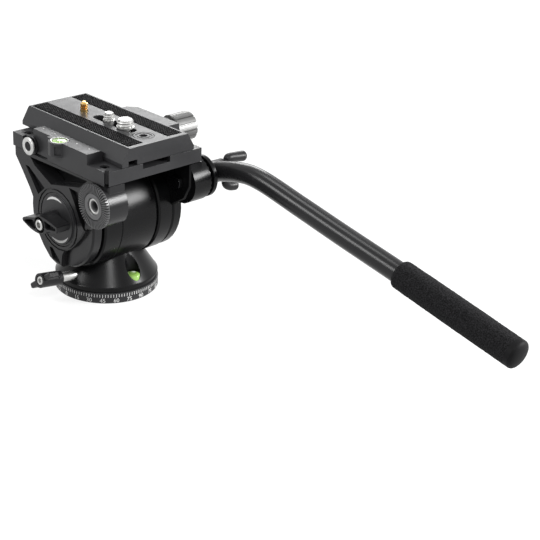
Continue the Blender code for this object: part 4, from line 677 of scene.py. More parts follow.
class HEAD_OT_base(bpy.types.Operator):
    """Base with its degree scale, and the screws and thread in its underside"""

    bl_idname = "head.base"
    bl_label = "Base"

    def execute(self, context):
        turn_out("base_ring", "anodised", FACE_Z, [
            (BASE_R - BASE_EDGE, BASE_H), (BASE_R, BASE_H - BASE_EDGE), (BASE_R, BASE_EDGE),
            (BASE_R - BASE_EDGE, 0), (0.0290, 0), (0.0286, 0.0003), (0.0142, 0.0003),
            (0.0138, 0), (0.0133, 0), (0.0133, 0.0043), (0.0083, 0.0043), (0.0083, BASE_H),
        ], "base", "base_plate", edge=0.00012, closed=True, steps=160)
        self.add_scale(BASE_R + 0.00003, sizes())
        self.add_underside()
        return {"FINISHED"}

    def add_scale(self, radius, values):
        """Ticks that hang from the rim, and the numbers below them, 90 to 0 to 90."""
        high = 0.0057
        low = high - values.tick
        half = 0.00017
        ticks = []
        for angle in range(0, 360, values.scale_step):
            turn = math.radians(angle + SCALE_TURN)
            reach = low if angle % NUMBER_STEP else low - 0.0003
            corners = [(-half, reach), (half, reach), (half, high), (-half, high)]
            ticks.append([polar(radius, turn + x / radius, z) for x, z in corners])
        carry(mark_mesh("scale_ticks", ticks), "base")
        digits = bmesh.new()
        for place in range(360 // NUMBER_STEP):
            mesh = letters(str(NUMBER_STEP * (6 - abs(place % 12 - 6))), values.number)
            turn = math.radians(180 + SCALE_TURN + NUMBER_STEP * place)
            for vert in mesh.vertices:
                vert.co = polar(radius, turn + vert.co.x / radius, 0.0008 + vert.co.y)
            digits.from_mesh(mesh)
            bpy.data.meshes.remove(mesh)
        mesh = mesh_of(digits, "scale_numbers", None, False)
        carry(new_piece("scale_numbers", mesh, "paint"), "base")

    def add_underside(self):
        """Three countersunk screws and the turned bush with its thread."""
        screws = []
        for angle in (90, 210, 330):
            place = at(*polar(BASE_SCREW_R, math.radians(angle), 0.00035))
            screws.append(hex_screw("base_screw", "steel", place, [
                (0, -0.0002), (0.0022, -0.0002), (0.0024, 0.0001), (0.0024, 0.0009), (0, 0.0009),
            ], -0.0002, 0.0012, 0.0008, 32))
        carry(unite(screws, "base_screws"), "base")
        turn_out("tripod_bush", "steel", FACE_Z, [
            (0.0122, 0.00005), (0.0050, 0.00005), (0.0050, 0.0002), (0.0046, 0.0006),
            (0.0046, 0.0105), (0, 0.0105), (0, 0.0215), (0.0060, 0.0215), (0.0060, 0.0171),
            (0.0080, 0.0171), (0.0080, 0.0040), (0.0130, 0.0040), (0.0130, 0.0005),
            (0.0128, 0.0003),
        ], "base", "pan_spindle", steps=72, closed=True)
        thread = thread_coil("tripod_thread_turns", 0.0046, 0.0009, 0.0102, 0.00159, 0.00045,
                             FACE_Z, inward=True)
        carry(thread, "base")


def lock_place():
    """Frame on the pan lock's axis with its Z outward."""
    outward = Vector((-math.cos(PAN_LOCK_RISE), 0, math.sin(PAN_LOCK_RISE)))
    return facing(PAN_LOCK, outward)


class HEAD_OT_pan_body(bpy.types.Operator):
    """Cone and drum of the pan body with their smooth rounds, and the drum's cover"""

    bl_idname = "head.pan_body"
    bl_label = "Pan body"

    def execute(self, context):
        cone = lathe("pan_cone", [
            (0.0158, 0.0300), (0.0180, 0.0266), (0.0291, 0.0099), (0.0293, 0.0096),
            (0.0297, 0.0092), (0.0297, 0.0089), (0.0289, 0.0086), (0.0289, 0.0066),
            (0.0184, 0.0066), (0.0184, 0.0130), (0.0084, 0.0130), (0.0084, 0.0300),
        ], "gloss", steps=160, closed=True)
        well = lathe("well", [(0, 0.0104), (0.0044, 0.0104), (0.0044, 0.0300), (0, 0.0300)],
                     "gloss", at(0, PAN_LEVEL.y, 0), steps=64)
        bore = lathe("bore", [(0, -0.0095), (0.0031, -0.0095), (0.0031, 0.0090), (0, 0.0090)],
                     "gloss", lock_place(), steps=48)
        round_edges(cut_away(cone, well, bore), 0.00035, 3)
        edge = 0.0009
        left, right, radius = -0.0243, 0.0129, 0.0300
        drum = lathe("tilt_drum", [
            (0.0103, left), (radius - edge, left), (radius, left + edge), (radius, -0.0127),
            (0.02965, -0.0125), (0.02965, -0.0120), (radius, -0.0118), (radius, right - edge),
            (radius - edge, right), (0.0220, right), (0.0220, left + 0.0040),
            (0.0103, left + 0.0040),
        ], "gloss", about_x(0, TILT_Z), steps=192, closed=True)
        carry(unite([cone, drum], "pan_body"), "pan", "pan_housing")
        turn_out("drum_cover", "gloss", about_x(0, TILT_Z), [
            (0.0294, 0.0243), (0.0303, 0.0234), (0.0303, 0.0151), (0.0294, 0.0142),
            (0.0284, 0.0142), (0.0284, 0.0132), (0.0217, 0.0132), (0.0217, 0.0080),
            (0.0190, 0.0080), (0.0190, 0.0203), (0.0103, 0.0203), (0.0103, 0.0243),
        ], "pan", "counterbalance_cover", steps=192, closed=True)
        finer("pan_brake_shoe", "brake_shoe", "brass", 0.0001, "pan")
        return {"FINISHED"}


class HEAD_OT_levels(bpy.types.Operator):
    """Two round levels: fluid with a domed face, bubble and centre ring"""

    bl_idname = "head.levels"
    bl_label = "Levels"

    def execute(self, context):
        self.add_level("pan", "pan_level", PAN_LEVEL, 0.0035, 0.0009, (0.0010, 0.0007))
        self.add_level("tilt", "top_level", LEVEL, 0.0042, 0.0005, (0.0006, -0.0004))
        turn_out("level_bezel", "steel", at(*LEVEL), [
            (0.0043, -0.0010), (0.0051, -0.0010), (0.0051, -0.00012), (0.0049, 0.00006),
            (0.0045, 0.00006), (0.0043, -0.00010),
        ], "tilt", "top_level_bezel", steps=72, closed=True)
        return {"FINISHED"}

    def add_level(self, body, name, top, depth, crown, lean):
        """Vial with a domed face, a ring on it, and a bubble that lies to one side."""
        place = at(*top)
        radius = 0.0040
        foot = -0.0004
        dome = [(x, foot + z) for x, z in (
            (radius * math.cos(turn), crown * math.sin(turn))
            for turn in map(math.radians, (0, 20, 45, 70)))]
        turn_out(name + "_fluid", "fluid", place,
                 [(0, -depth), (radius, -depth), *dome, (0, foot + crown)],
                 body, name + "_vial", steps=64)
        high = foot + crown * 0.82
        inner = radius * 0.44
        outer = inner + 0.00022
        turn_out(name + "_ring", "line", place, [
            (inner, high - 0.0001), (outer, high - 0.0001), (outer, high + 0.00012),
            (inner, high + 0.00012),
        ], body, steps=48, closed=True)
        girth = radius * 0.38
        turn_out(name + "_bubble", "bubble", place @ at(*lean, 0), [(0, high + 0.00018)] + [
            (girth * math.sin(turn), high - 0.00006 + 0.00024 * math.cos(turn))
            for turn in map(math.radians, (25, 50, 75, 95))
        ], body, steps=40)


def rosette(name, place, count):
    """Ring of radial teeth round a plain disc with a bore, facing along the place's Z."""
    shares = (0.0, 0.40, 0.52, 0.88)      # a tooth's land, then the floor of a slot
    bm = bmesh.new()
    # Radius, height over a tooth and depth of the valley
    rows = [
        [bm.verts.new(polar(radius, math.tau * (i + share) / count,
                            height - (depth if share > 0.5 else 0)))
         for i in range(count) for share in shares]
        for radius, height, depth in (
            (0.0046, 0.0, 0.0), (0.0125, 0.0, 0.0), (0.0125, 0.0017, 0.0014),
            (0.01225, 0.0020, 0.0017), (0.0078, 0.0018, 0.0009), (0.0076, 0.0009, 0.0),
            (0.0073, 0.0009, 0.0), (0.0073, 0.00155, 0.0), (0.0072, 0.0017, 0.0),
            (0.0049, 0.0017, 0.0), (0.0046, 0.0014, 0.0))
    ]
    for low, high in zip(rows, rows[1:] + rows[:1]):
        skin(bm, low, high)
    # Its finish is painted lighter than the arm's metal, a painted highlight on the teeth.
    return new_piece(name, mesh_of(bm, name, math.radians(20)), "turned", place)


class HEAD_OT_arms(bpy.types.Operator):
    """Arms beside the drum, with the rosettes of the handle"""

    bl_idname = "head.arms"
    bl_label = "Arms"

    def execute(self, context):
        values = sizes()
        finer("left_arm", "left_arm_body", "satin", values.edge, "tilt")
        finer("right_arm", "right_arm_body", "gloss", values.edge, "tilt")
        turn_out("right_cap", "anodised", about_x(0, TILT_Z), [
            (0, 0.0325), (0.0146, 0.0325), (0.0150, 0.0329), (0.0150, 0.0335), (0.0145, 0.0340),
            (0.0128, 0.0340), (0.0126, 0.0338), (0, 0.0338),
        ], "tilt", "right_end_cap", edge=0.00012)
        teeth = rosette("left_rosette_teeth", at(-0.0363, BOSS.y, BOSS.z) @ FACE_LEFT,
                        values.teeth)
        carry(teeth, "tilt", "left_rosette")
        place = about_x(BOSS.y, BOSS.z, True)
        turn_out("left_bush", "steel", place, [
            (0.0033, 0.0232), (0.0045, 0.0232), (0.0045, 0.0370), (0.0043, 0.0372),
            (0.0035, 0.0372), (0.0033, 0.0370),
        ], "tilt", "left_rosette_bush", steps=48, closed=True)
        turn_out("left_bush_lining", "turned", place, [
            (0.0026, 0.0236), (0.00335, 0.0236), (0.00335, 0.0366), (0.0031, 0.0368),
            (0.0028, 0.0368), (0.0026, 0.0366),
        ], "tilt", steps=48, closed=True)
        return {"FINISHED"}


class HEAD_OT_clamp(bpy.types.Operator):
    """Clamp deck with its fixed jaw and marks, the moving jaw and its ribbed knob"""

    bl_idname = "head.clamp"
    bl_label = "Plate clamp"

    def execute(self, context):
        values = sizes()
        notch = slab("notch", [(-0.03835, -0.04615), (-0.03335, -0.04115), (-0.03165, -0.04285),
                               (-0.03665, -0.04785)], 0.0780, 0.0990, "anodised")
        finer("clamp_base", "clamp_deck", "anodised", values.edge, "tilt", notch)
        finer("moving_jaw", "sliding_jaw", "anodised", values.edge, "jaw")
        self.add_marks()
        self.add_screws()
        self.add_knob(values.ribs)
        return {"FINISHED"}

    def add_marks(self):
        """White dots along the fixed jaw."""
        radius, corners = 0.00042, 16
        dots = []
        for y in (0.0181, 0.0076, -0.0122, -0.0229):
            middle = Vector((-0.0296, y, 0.09553))
            dots.append([middle + Vector(polar(radius, math.tau * i / corners, 0))
                         for i in range(corners)])
        carry(mark_mesh("jaw_dots", dots), "tilt")

    def add_screws(self):
        """Socket screws that hold the deck to the arms."""
        for name in ("left_back", "left_front", "right_back", "right_front"):
            low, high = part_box("deck_screw_" + name)
            place = at((low.x + high.x) / 2, (low.y + high.y) / 2, high.z)
            screw = hex_screw("cap_screw_" + name, "dark_steel", place, [
                (0, -0.0067), (0.0013, -0.0067), (0.0013, -0.0012), (0.0024, -0.0012),
                (0.0024, -0.0003), (0.0021, 0), (0, 0),
            ], 0, 0.0014, 0.0008)
            carry(screw, "tilt", "deck_screw_" + name)

    def add_knob(self, count):
        """Ribs with narrowed ends, round a turned body."""
        place = about_x(-0.0055, 0.0866)
        radius, groove = 0.0087, 0.0008
        low, high, end, narrow = 0.0419, 0.0565, 0.0005, 0.955
        outline = [
            polar(radius - depth, math.tau * (i + share) / count) for i in range(count)
            for share, depth in ((0.0, 0), (0.24, 0), (0.48, 0), (0.72, 0), (0.78, groove),
                                 (0.94, groove))]
        # Ribs and body take the clamp knob's steel, painted darker as shade.
        ribs = slab("knob_ribs", [(x * narrow, y * narrow) for x, y in outline], low, high,
                    "knob_steel", place)
        middle = slab("knob_ribs_middle", outline, low + end, high - end, "knob_steel", place)
        turned = lathe("knob_turning", [
            (0, 0.0374), (0.0070, 0.0374), (0.0072, 0.0376), (0.0072, 0.0406), (0.0070, 0.0408),
            (0.0045, 0.0408), (0.0045, 0.0420), (0.0080, 0.0420), (0.0080, 0.0562),
            (0.0072, 0.0568), (0.0054, 0.0570), (0.0050, 0.0566), (0, 0.0566),
        ], "knob_steel", place)
        carry(unite([middle, ribs, turned], "clamp_knob_turned"), "clamp_knob", "clamp_knob")


class HEAD_OT_button(bpy.types.Operator):
    """Release button: bright rim, knurled face and black collar"""

    bl_idname = "head.button"
    bl_label = "Release button"

    def execute(self, context):
        place = about_x(0.0220, 0.0858, True)
        turn_out("button_collar", "plastic", place, [
            (0.0034, 0.0310), (0.0034, 0.0341), (0.0048, 0.0341), (0.0049, 0.0342),
            (0.0049, 0.0349), (0.0048, 0.0350), (0.0021, 0.0350), (0.0021, 0.0310),
        ], "tilt", "button_guide", steps=64, closed=True)
        turn_out("button_rim", "steel", place, [
            (0, 0.0290), (0.0018, 0.0290), (0.0018, 0.0365), (0.0048, 0.0365), (0.0051, 0.0368),
            (0.0051, 0.0375), (0.0049, 0.0378), (0.0046, 0.0379), (0.0030, 0.0379),
            (0.0027, 0.0377), (0.0027, 0.0372), (0, 0.0372),
        ], "release_button", "release_button", steps=72)
        carry(self.knurled_face(place), "release_button", "release_button_pad")
        return {"FINISHED"}

    def knurled_face(self, place):
        """Round pad whose face has crossed grooves."""
        bm = bmesh.new()
        count, radius, rows, low, depth = 26, 0.0027, 3400, 0.0373, 0.00035
        grid = {}
        for i in range(-count, count + 1):
            for j in range(-count, count + 1):
                x, y = radius * i / count, radius * j / count
                if math.hypot(x, y) <= radius:
                    wave = abs(math.sin((x + y) * rows)) * abs(math.sin((x - y) * rows))
                    grid[i, j] = bm.verts.new((x, y, low + depth * wave))
        for i, j in grid:
            corners = [(i, j), (i + 1, j), (i + 1, j + 1), (i, j + 1)]
            if all(corner in grid for corner in corners):
                bm.faces.new([grid[corner] for corner in corners])
        mesh = mesh_of(bm, "button_face", math.radians(60), False)
        return new_piece("button_face", mesh, "plastic", place)


class HEAD_OT_plate(bpy.types.Operator):
    """Camera plate with its studded strips, spare bush, sliders and brass pin"""

    bl_idname = "head.plate"
    bl_label = "Camera plate"

    def execute(self, context):
        finer("camera_plate", "plate_body", "anodised", sizes().edge, "plate")
        for side in ("left", "right"):
            finer(f"plate_pad_{side}", f"plate_strip_{side}", "rubber", 0.0001, "plate")
        turn_out("spare_bush", "anodised", at(SLOT_X, -0.0336, PLATE_TOP), [
            (0.0021, -0.0018), (0.0058, -0.0018), (0.0058, -0.0002), (0.0056, 0),
            (0.0047, 0), (0.0044, -0.0003), (0.0036, -0.0003), (0.0033, 0), (0.0023, 0),
            (0.0021, -0.0002),
        ], "plate", "plate_spare_bush", steps=72, closed=True)
        place = at(SLOT_X, PIN_Y, 0)
        pin = lathe("brass_pin", [
            (0, 0.0971), (0.0032, 0.0971), (0.0032, 0.0983), (0.0021, 0.0983), (0.0021, 0.1046),
            (0.0012, 0.1049), (0.0012, 0.1054), (0.0009, 0.1058), (0, 0.1058),
        ], "brass", place, steps=48)
        cut_away(pin, *(
            lathe("groove", [(0.0017, z), (0.0024, z - 0.0003), (0.0024, z + 0.0003)], "brass",
                  place, steps=48, closed=True)
            for z in (0.1036, 0.1026, 0.1016)))
        carry(pin, "video_pin", "video_pin")
        finer("quarter_slider", "small_slider", "steel", 0.0002, "quarter_slider")
        finer("three_eighth_slider", "large_slider", "steel", 0.0002, "three_eighth_slider")
        return {"FINISHED"}


class HEAD_OT_camera_screws(bpy.types.Operator):
    """The two camera screws: threaded studs on wide slotted heads"""

    bl_idname = "head.camera_screws"
    bl_label = "Camera screws"

    def execute(self, context):
        pitch = sizes().pitch
        self.add_screw("quarter", -0.0037, 0.0031, pitch)
        self.add_screw("three_eighth", -0.0180, 0.0047, pitch * 1.2)
        return {"FINISHED"}

    def add_screw(self, size, y, radius, pitch):
        low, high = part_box(size + "_screw")
        place = at(SLOT_X, y, 0)
        core = radius - 0.00055
        stud = PLATE_TOP + 0.0004
        shaft = lathe(size + "_shaft", [
            (0, high.z), (core - 0.0004, high.z), (core, high.z - 0.0004), (core, stud + 0.0008),
            (radius + 0.0002, stud + 0.0006), (radius + 0.0002, stud), (0.0029, stud),
            (0.0029, 0.0934), (0.0059, 0.0934), (0.0059, low.z), (0, low.z),
        ], "steel", place, steps=64)
        reach, half = radius * 1.2, 0.0005
        cut_away(shaft, slab("slot", [(-reach, -half), (reach, -half), (reach, half),
                                      (-reach, half)],
                             high.z - 0.0013, high.z + 0.001, "steel", place))
        turns = thread_coil(size + "_turns", core, stud + 0.0009, high.z - 0.0005, pitch,
                            radius - core, place)
        carry(unite([shaft, turns], size + "_threaded"), size + "_screw", size + "_screw")


# Front of the tilt lock's knob and its two hollows: (back, up) about its axis, in millimetres
LOCK_OUTLINE = (
    (-15.9, -2.3), (-15.3, -0.3), (-8.9, 1.7), (-4.2, 3.2), (0.4, 5.3), (5.2, 5.4), (9.7, 4.7),
    (14.2, 3.8), (15.8, 3.3), (15.4, 0.1), (12.3, -0.7), (7.8, -1.7), (4.0, -3.7), (0.0, -5.4),
    (-4.6, -5.5), (-9.2, -4.8), (-13.5, -3.4))
LOCK_POCKETS = (
    ((4.4, 3.6), (8.8, 3.2), (14.0, 2.5), (14.2, 1.0), (10.0, 0.3), (6.4, -0.5), (4.4, 1.2)),
    ((-4.4, -3.9), (-8.8, -3.5), (-13.2, -2.6), (-14.0, -1.5), (-10.0, 0.1), (-6.4, 0.9),
     (-4.4, -0.9)))


def soft_slab(name, outline, low, high, place):
    """Plastic slab with a closed outline, in millimetres, that bends smoothly."""
    ring = smooth_ring([(x / 1000, y / 1000) for x, y in outline])
    return slab(name, ring, low, high, "plastic", place)


class HEAD_OT_tilt_lock(bpy.types.Operator):
    """Wing knob of the tilt lock, its screw, and the dial with two curved arrows"""

    bl_idname = "head.tilt_lock"
    bl_label = "Tilt lock"

    def execute(self, context):
        place = about_x(0, TILT_Z, True)
        turn_out("dial", "anodised", place, [
            (0.0044, 0.0333), (0.0155, 0.0333), (0.0155, 0.0340), (0.0153, 0.0342),
            (0.0143, 0.0342), (0.0141, 0.0344), (0.0141, 0.0350), (0.0139, 0.0352),
            (0.0044, 0.0352),
        ], "tilt", "lock_dial", steps=128, closed=True)
        self.add_arrows(place)
        self.add_knob(place)
        return {"FINISHED"}

    def add_arrows(self, place):
        """Crescents that taper to points at both ends, above and below the knob."""
        faces = []
        count, radius, height, width = 24, 0.0126, 0.03523, 0.00072
        for start, end in ((66, 134), (246, 326)):
            inner, outer = [], []
            for i in range(count + 1):
                share = i / count
                turn = math.radians(start + (end - start) * share)
                half = width * math.sin(math.pi * share) ** 0.7
                outer.append(polar(radius + half, turn, height))
                inner.append(polar(radius - half, turn, height))
            for corners in zip(inner, inner[1:], outer[1:], outer):
                faces.append([place @ Vector(spot) for spot in dict.fromkeys(corners)])
        carry(mark_mesh("dial_arrows", faces), "tilt")

    def add_knob(self, place):
        hub = lathe("lock_hub", [
            (0.0040, 0.0310), (0.0040, 0.0356), (0.0058, 0.0356), (0.0056, 0.0440),
            (0.0050, 0.0466), (0.0046, 0.0468), (0.0033, 0.0468), (0.0033, 0.0410), (0, 0.0410),
            (0, 0.0310),
        ], "plastic", place, steps=64)
        wing = soft_slab("lock_wing", LOCK_OUTLINE, 0.0378, 0.0468, place)
        seat = lathe("seat", [(0, 0.0408), (0.0033, 0.0408), (0.0033, 0.0480), (0, 0.0480)],
                     "plastic", place, steps=40)
        cut_away(wing, seat, *(soft_slab("pocket", outline, 0.0438, 0.0480, place)
                               for outline in LOCK_POCKETS))
        round_edges(wing, 0.00025)
        carry(unite([hub, wing], "tilt_lock_wings"), "tilt_lock", "tilt_lock_knob")
        face = 0.0474
        screw = hex_screw("lock_screw", "steel", place, [
            (0, 0.0414), (0.0030, 0.0414), (0.0030, 0.0471), (0.0027, face), (0, face),
        ], face, 0.0019, 0.0024)
        carry(screw, "tilt_lock", "tilt_lock_screw")


class HEAD_OT_pan_lock(bpy.types.Operator):
    """Winged lever of the pan lock on its bright shaft"""

    bl_idname = "head.pan_lock"
    bl_label = "Pan lock"

    def execute(self, context):
        turn_out("lock_shaft", "steel", lock_place(), [
            (0, -0.0050), (0.0027, -0.0050), (0.0027, 0.0088), (0.0024, 0.0092),
            (0.0016, 0.0092), (0.0016, 0.0180), (0, 0.0180),
        ], "pan_lock", "pan_lock_shaft", steps=64)
        finer("pan_lock_knob", "pan_lock_lever", "plastic", 0.0005, "pan_lock")
        face = 0.0232
        screw = hex_screw("lever_screw", "steel", lock_place(), [
            (0, 0.0211), (0.0026, 0.0211), (0.0026, 0.0229), (0.0023, face), (0, face),
        ], face, 0.0014, 0.0012)
        carry(screw, "pan_lock", "pan_lock_screw")
        return {"FINISHED"}


# Handle: (back, up) along its centre line, as shares of its reach
HANDLE_REACH = 0.2204
TUBE_X = 0.0498
TUBE_R = 0.0059
TUBE_START = 0.0030        # from the first point back into the hub
TUBE_END = 0.0060          # from the grip's end, inside it
TUBE_PATH = (
    (0.000, 0.000), (0.093, 0.025), (0.174, 0.027), (0.310, 0.002), (0.450, -0.025),
    (0.593, -0.051), (0.641, -0.060),
)
GRIP_END = (1.000, -0.132)
GRIP_R = 0.00785
GRIP_ROUND = 0.0030        # of the end cap
CAP_LENGTH = 0.0057
HUB_LEFT = 0.0384
WING_R = 0.0030
# Wings of the handle's lock: (right, up) along each, from the knob out
LOCK_WINGS = (
    ((0.0592, 0.0036), (0.0600, 0.0060), (0.0660, 0.0054), (0.0736, 0.0044)),
    ((0.0592, -0.0036), (0.0588, -0.0092), (0.0620, -0.0116), (0.0676, -0.0122)),
)


def handle_point(share):
    """Point of the handle's centre line, from shares of its reach."""
    return Vector((TUBE_X, BOSS.y - share[0] * HANDLE_REACH, BOSS.z + share[1] * HANDLE_REACH))


def wing_share(along):
    """Radius of a wing along its length: it widens toward its rounded end."""
    end = 0.9
    if along > end:
        return 1.05 * math.sqrt(max(0.02, 1 - ((along - end) / 0.1) ** 2))
    return 0.72 + 0.33 * along / end


class HEAD_OT_handle(bpy.types.Operator):
    """Hub of the handle with its bolt, the bent tube and the winged lock knob"""

    bl_idname = "head.handle"
    bl_label = "Pan handle"

    def execute(self, context):
        turn_out("handle_hub_body", "gloss", about_x(BOSS.y, BOSS.z), [
            (0.0032, HUB_LEFT), (0.0122, HUB_LEFT), (0.0123, HUB_LEFT + 0.0003),
            (0.0123, 0.0408), (0.0119, 0.0412), (0.0074, 0.0416), (0.0066, 0.0424),
            (0.0064, 0.0557), (0.0060, 0.0562), (0.0032, 0.0562),
        ], "handle", "handle_hub", closed=True)
        finer("handle_bolt", "handle_bolt_body", "dark_steel", 0.0002, "tilt")
        points = [handle_point(share) for share in TUBE_PATH]
        outward = (points[1] - points[0]).normalized()
        points[0] = points[0] - outward * TUBE_START
        path = smooth_path(points)
        grip_end = handle_point(GRIP_END)
        path.append(grip_end - (grip_end - points[-1]).normalized() * TUBE_END)
        tube = tube_along("bent_tube", path, TUBE_R, "satin", 64,
                          lambda along: min(1.0, 0.90 + 12 * along))
        carry(tube, "handle", "handle_tube")
        self.add_lock_knob()
        return {"FINISHED"}

    def add_lock_knob(self):
        parts = [lathe("knob_body", [
            (0.0030, 0.0567), (0.0055, 0.0567), (0.0058, 0.0571), (0.0058, 0.0612),
            (0.0050, 0.0620), (0.0042, 0.0622), (0.0030, 0.0622), (0.0030, 0.0600),
        ], "plastic", about_x(BOSS.y, BOSS.z), steps=64, closed=True)]
        for line in LOCK_WINGS:
            path = smooth_path([Vector((x, BOSS.y, BOSS.z + rise)) for x, rise in line])
            parts.append(tube_along("knob_wing", path, WING_R, "plastic", 40, wing_share))
        carry(unite(parts, "handle_lock_wings"), "handle_lock", "handle_lock_knob")


class HEAD_OT_grip(bpy.types.Operator):
    """Foam grip with its uneven skin and soft ends, and the rubber end cap"""

    bl_idname = "head.grip"
    bl_label = "Foam grip"

    def execute(self, context):
        start, end = handle_point(TUBE_PATH[-1]), handle_point(GRIP_END)
        reach = (end - start).length
        place = facing(start, end - start)
        high = reach - CAP_LENGTH
        profile = [(0.0062, 0.0), (0.0069, 0.0001), (0.0075, 0.0006), (0.0078, 0.0014)]
        count, low = 150, 0.0022
        for i in range(count + 1):
            along = low + (high - 0.0004 - low) * i / count
            swell = 0.00010 * math.sin(math.pi * i / count)
            profile.append((GRIP_R + swell, along))
        profile += [(GRIP_R, high - 0.00002), (0.0077, high)]
        grip = lathe("foam_sleeve", profile, "foam", place, steps=120)
        for vert in grip.data.vertices:
            if 0.0003 <= vert.co.z <= high - 0.0002:
                lump = noise.noise(vert.co * 900) + 0.6 * noise.noise(vert.co * 260)
                flat = Vector((vert.co.x, vert.co.y, 0)).normalized()
                vert.co += flat * lump * sizes().foam_relief
        grip.data.shade_smooth()
        carry(grip, "handle", "foam_grip")
        top = reach - GRIP_ROUND
        dome = [(0.0078 * math.cos(turn), top + GRIP_ROUND * math.sin(turn))
                for turn in map(math.radians, (0, 15, 30, 45, 60, 75, 88))]
        turn_out("end_cap", "cap", place, [
            (0, high + 0.00002), (GRIP_R, high + 0.00002), (GRIP_R, top), *dome, (0, reach),
        ], "handle", "grip_end_cap")
        return {"FINISHED"}


def view_angle(name, description, degrees):
    return FloatProperty(name=name, description=description, subtype="ANGLE",
                         default=math.radians(degrees))


def watts(name, description, value):
    return FloatProperty(name=name, description=description, unit="POWER", default=value)


class HeadStudio(bpy.types.PropertyGroup):
    """Camera and lights"""

    azimuth: view_angle("Azimuth", "Where the camera stands, about Z", -45.6863)
    elevation: view_angle("Elevation", "How high the camera stands", 24.7194)
    roll: view_angle("Roll", "Turn of the camera about its view", 2.9634)
    distance: length("Distance", "From the foot of the head to the camera", 0.807406)
    shift_right: length("Right", "Camera's offset to the right", 0.095981)
    shift_up: length("Up", "Camera's offset upward", 0.006666)
    lens: FloatProperty(name="Lens", description="Focal length on a 36 mm frame",
                        unit="CAMERA", default=91.5607, precision=4)
    key: watts("Key light", "Power of the box behind the head", 3.0)
    front: watts("Front light", "Power of the box on the front left", 5.0)
    side: watts("Side light", "Power of the box on the right", 12.0)
    far: watts("Far light", "Power of the box on the front right", 3.0)
    top: watts("Top light", "Power of the box overhead", 2.0)
    world: FloatProperty(name="World", description="Strength of the light all round",
                         default=0.20, min=0)


# Lights: where each stands and how large it is
LIGHTS = {
    "key": ((-0.34, -0.675, 0.706), (0.16, 0.14)),
    "front": ((-0.74, 0.33, 0.64), (0.40, 0.30)),
    "side": ((0.60, -0.72, 0.39), (0.24, 0.30)),
    "far": ((0.65, 0.635, 0.468), (0.40, 0.30)),
    "top": ((0.10, 0.28, 1.00), (0.30, 0.30)),
}
LIGHT_AIM = Vector((0, 0, 0.05))
FLOOR_HALF = 4.0
FLOOR_DROP = 0.0002
WHITE = (1, 1, 1, 1)


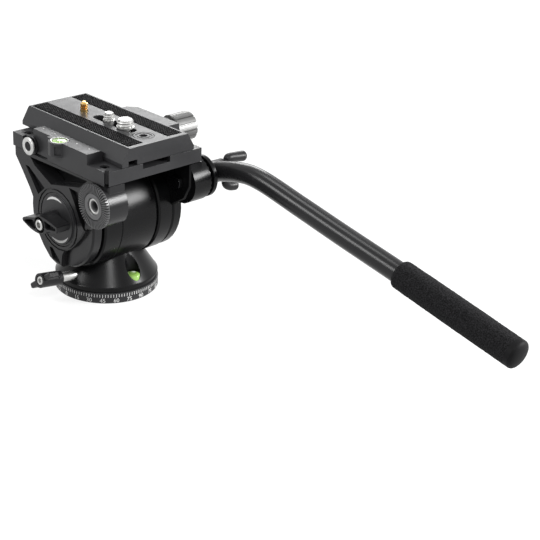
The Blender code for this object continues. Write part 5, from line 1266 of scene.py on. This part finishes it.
class HEAD_OT_studio(bpy.types.Operator):
    """Pale floor, soft lights, white surroundings and the camera"""

    bl_idname = "head.studio"
    bl_label = "Studio"

    def execute(self, context):
        values = context.scene.head_studio
        context.scene.view_settings.view_transform = "Standard"
        self.add_floor()
        self.add_world(values.world)
        self.add_lights(values)
        self.add_camera(values)
        return {"FINISHED"}

    def seen(self, tree):
        """One where the camera, a mirror or glass looks at the surroundings."""
        path = node(tree, "ShaderNodeLightPath").outputs
        direct = calc(tree, "MAXIMUM", path["Is Camera Ray"], path["Is Transmission Ray"])
        return calc(tree, "MAXIMUM", direct, path["Is Glossy Ray"])

    def add_floor(self):
        """Matt floor: white to the camera, with a faint shadow, and clear from below."""
        mesh = bpy.data.meshes.new("studio_floor")
        corners = ((-1, -1), (1, -1), (1, 1), (-1, 1))
        mesh.from_pydata([(FLOOR_HALF * x, FLOOR_HALF * y, 0) for x, y in corners], [],
                         [(0, 1, 2, 3)])
        tree, shader = new_finish("floor_paper", Specular_IOR_Level=0.0, Emission_Color=WHITE,
                                  Roughness=1.0)
        reach = node(tree, "ShaderNodeVectorMath", {0: position(tree)}, operation="LENGTH")
        # Brighter far off, where a low view would show the floor as a grey band
        rim = remap(tree, reach.outputs["Value"], 0.80, 0.98, 0.3, 1.1)
        backfacing = node(tree, "ShaderNodeNewGeometry").outputs["Backfacing"]
        feed(tree, shader.inputs, **{
            "Base Color": remap(tree, cloud(tree, 6.0), 0.25, 0.26),
            "Emission Strength": remap(tree, self.seen(tree), 0.20, rim),
            "Alpha": calc(tree, "SUBTRACT", 1.0, backfacing)})
        new_piece("studio_floor", mesh, "floor_paper", at(0, 0, -FLOOR_DROP))

    def add_world(self, strength):
        world = bpy.data.worlds.new("studio_world")
        bpy.context.scene.world = world
        world.use_nodes = True
        tree = world.node_tree
        back = tree.nodes["Background"]
        back.inputs["Color"].default_value = WHITE
        feed(tree, back.inputs, Strength=remap(tree, self.seen(tree), strength, 1.0))

    def add_lights(self, values):
        for name, (spot, size) in LIGHTS.items():
            lamp = bpy.data.lights.new(name + "_box", "AREA")
            lamp.shape = "RECTANGLE"
            lamp.size, lamp.size_y = size
            lamp.energy = getattr(values, name)
            add_object(name + "_box", lamp, facing(Vector(spot), Vector(spot) - LIGHT_AIM))

    def add_camera(self, values):
        az, el = values.azimuth, values.elevation
        back = Vector((math.sin(az) * math.cos(el), -math.cos(az) * math.cos(el), math.sin(el)))
        right = Vector((0, 0, 1)).cross(back).normalized()
        up = back.cross(right)
        turned_right = right * math.cos(values.roll) + up * math.sin(values.roll)
        turned_up = up * math.cos(values.roll) - right * math.sin(values.roll)
        lens = bpy.data.cameras.new("photo_camera")
        lens.sensor_fit = "HORIZONTAL"
        lens.sensor_width = 36
        lens.lens = values.lens
        lens.clip_start = 0.01
        place = back * values.distance + turned_right * values.shift_right
        place += turned_up * values.shift_up
        turn = Matrix((turned_right, turned_up, back)).transposed().to_4x4()
        bpy.context.scene.camera = add_object("photo_camera", lens,
                                              Matrix.Translation(place) @ turn)


GROUPS = {"head_finishes": HeadFinishes, "head_sizes": HeadSizes, "head_studio": HeadStudio}
# In the order in which they are called
OPERATORS = (
    HEAD_OT_finishes, HEAD_OT_base, HEAD_OT_pan_body, HEAD_OT_pan_lock, HEAD_OT_arms,
    HEAD_OT_clamp, HEAD_OT_levels, HEAD_OT_button, HEAD_OT_plate, HEAD_OT_camera_screws,
    HEAD_OT_tilt_lock, HEAD_OT_handle, HEAD_OT_grip, HEAD_OT_studio,
)


class HEAD_PT_panel(bpy.types.Panel):
    """Sizes, finishes and steps of the video head"""

    bl_label = "Video Head"
    bl_idname = "HEAD_PT_panel"
    bl_space_type = "VIEW_3D"
    bl_region_type = "UI"
    bl_category = "Video Head"

    def draw(self, context):
        for name in GROUPS:
            box = self.layout.box()
            box.label(text=name.removeprefix("head_").capitalize())
            values = getattr(context.scene, name)
            for key in values.bl_rna.properties.keys():
                if key not in ("rna_type", "name"):
                    box.prop(values, key)
        for operator in OPERATORS:
            self.layout.operator(operator.bl_idname)


CLASSES = (*GROUPS.values(), *OPERATORS, HEAD_PT_panel)


def register():
    for part in CLASSES:
        bpy.utils.register_class(part)
    for name, group in GROUPS.items():
        setattr(bpy.types.Scene, name, PointerProperty(type=group))


def unregister():
    for name in GROUPS:
        delattr(bpy.types.Scene, name)
    for part in reversed(CLASSES):
        bpy.utils.unregister_class(part)


def main():
    register()
    for operator in OPERATORS:
        getattr(bpy.ops.head, operator.bl_idname.removeprefix("head."))()


if __name__ == "__main__":
    main()
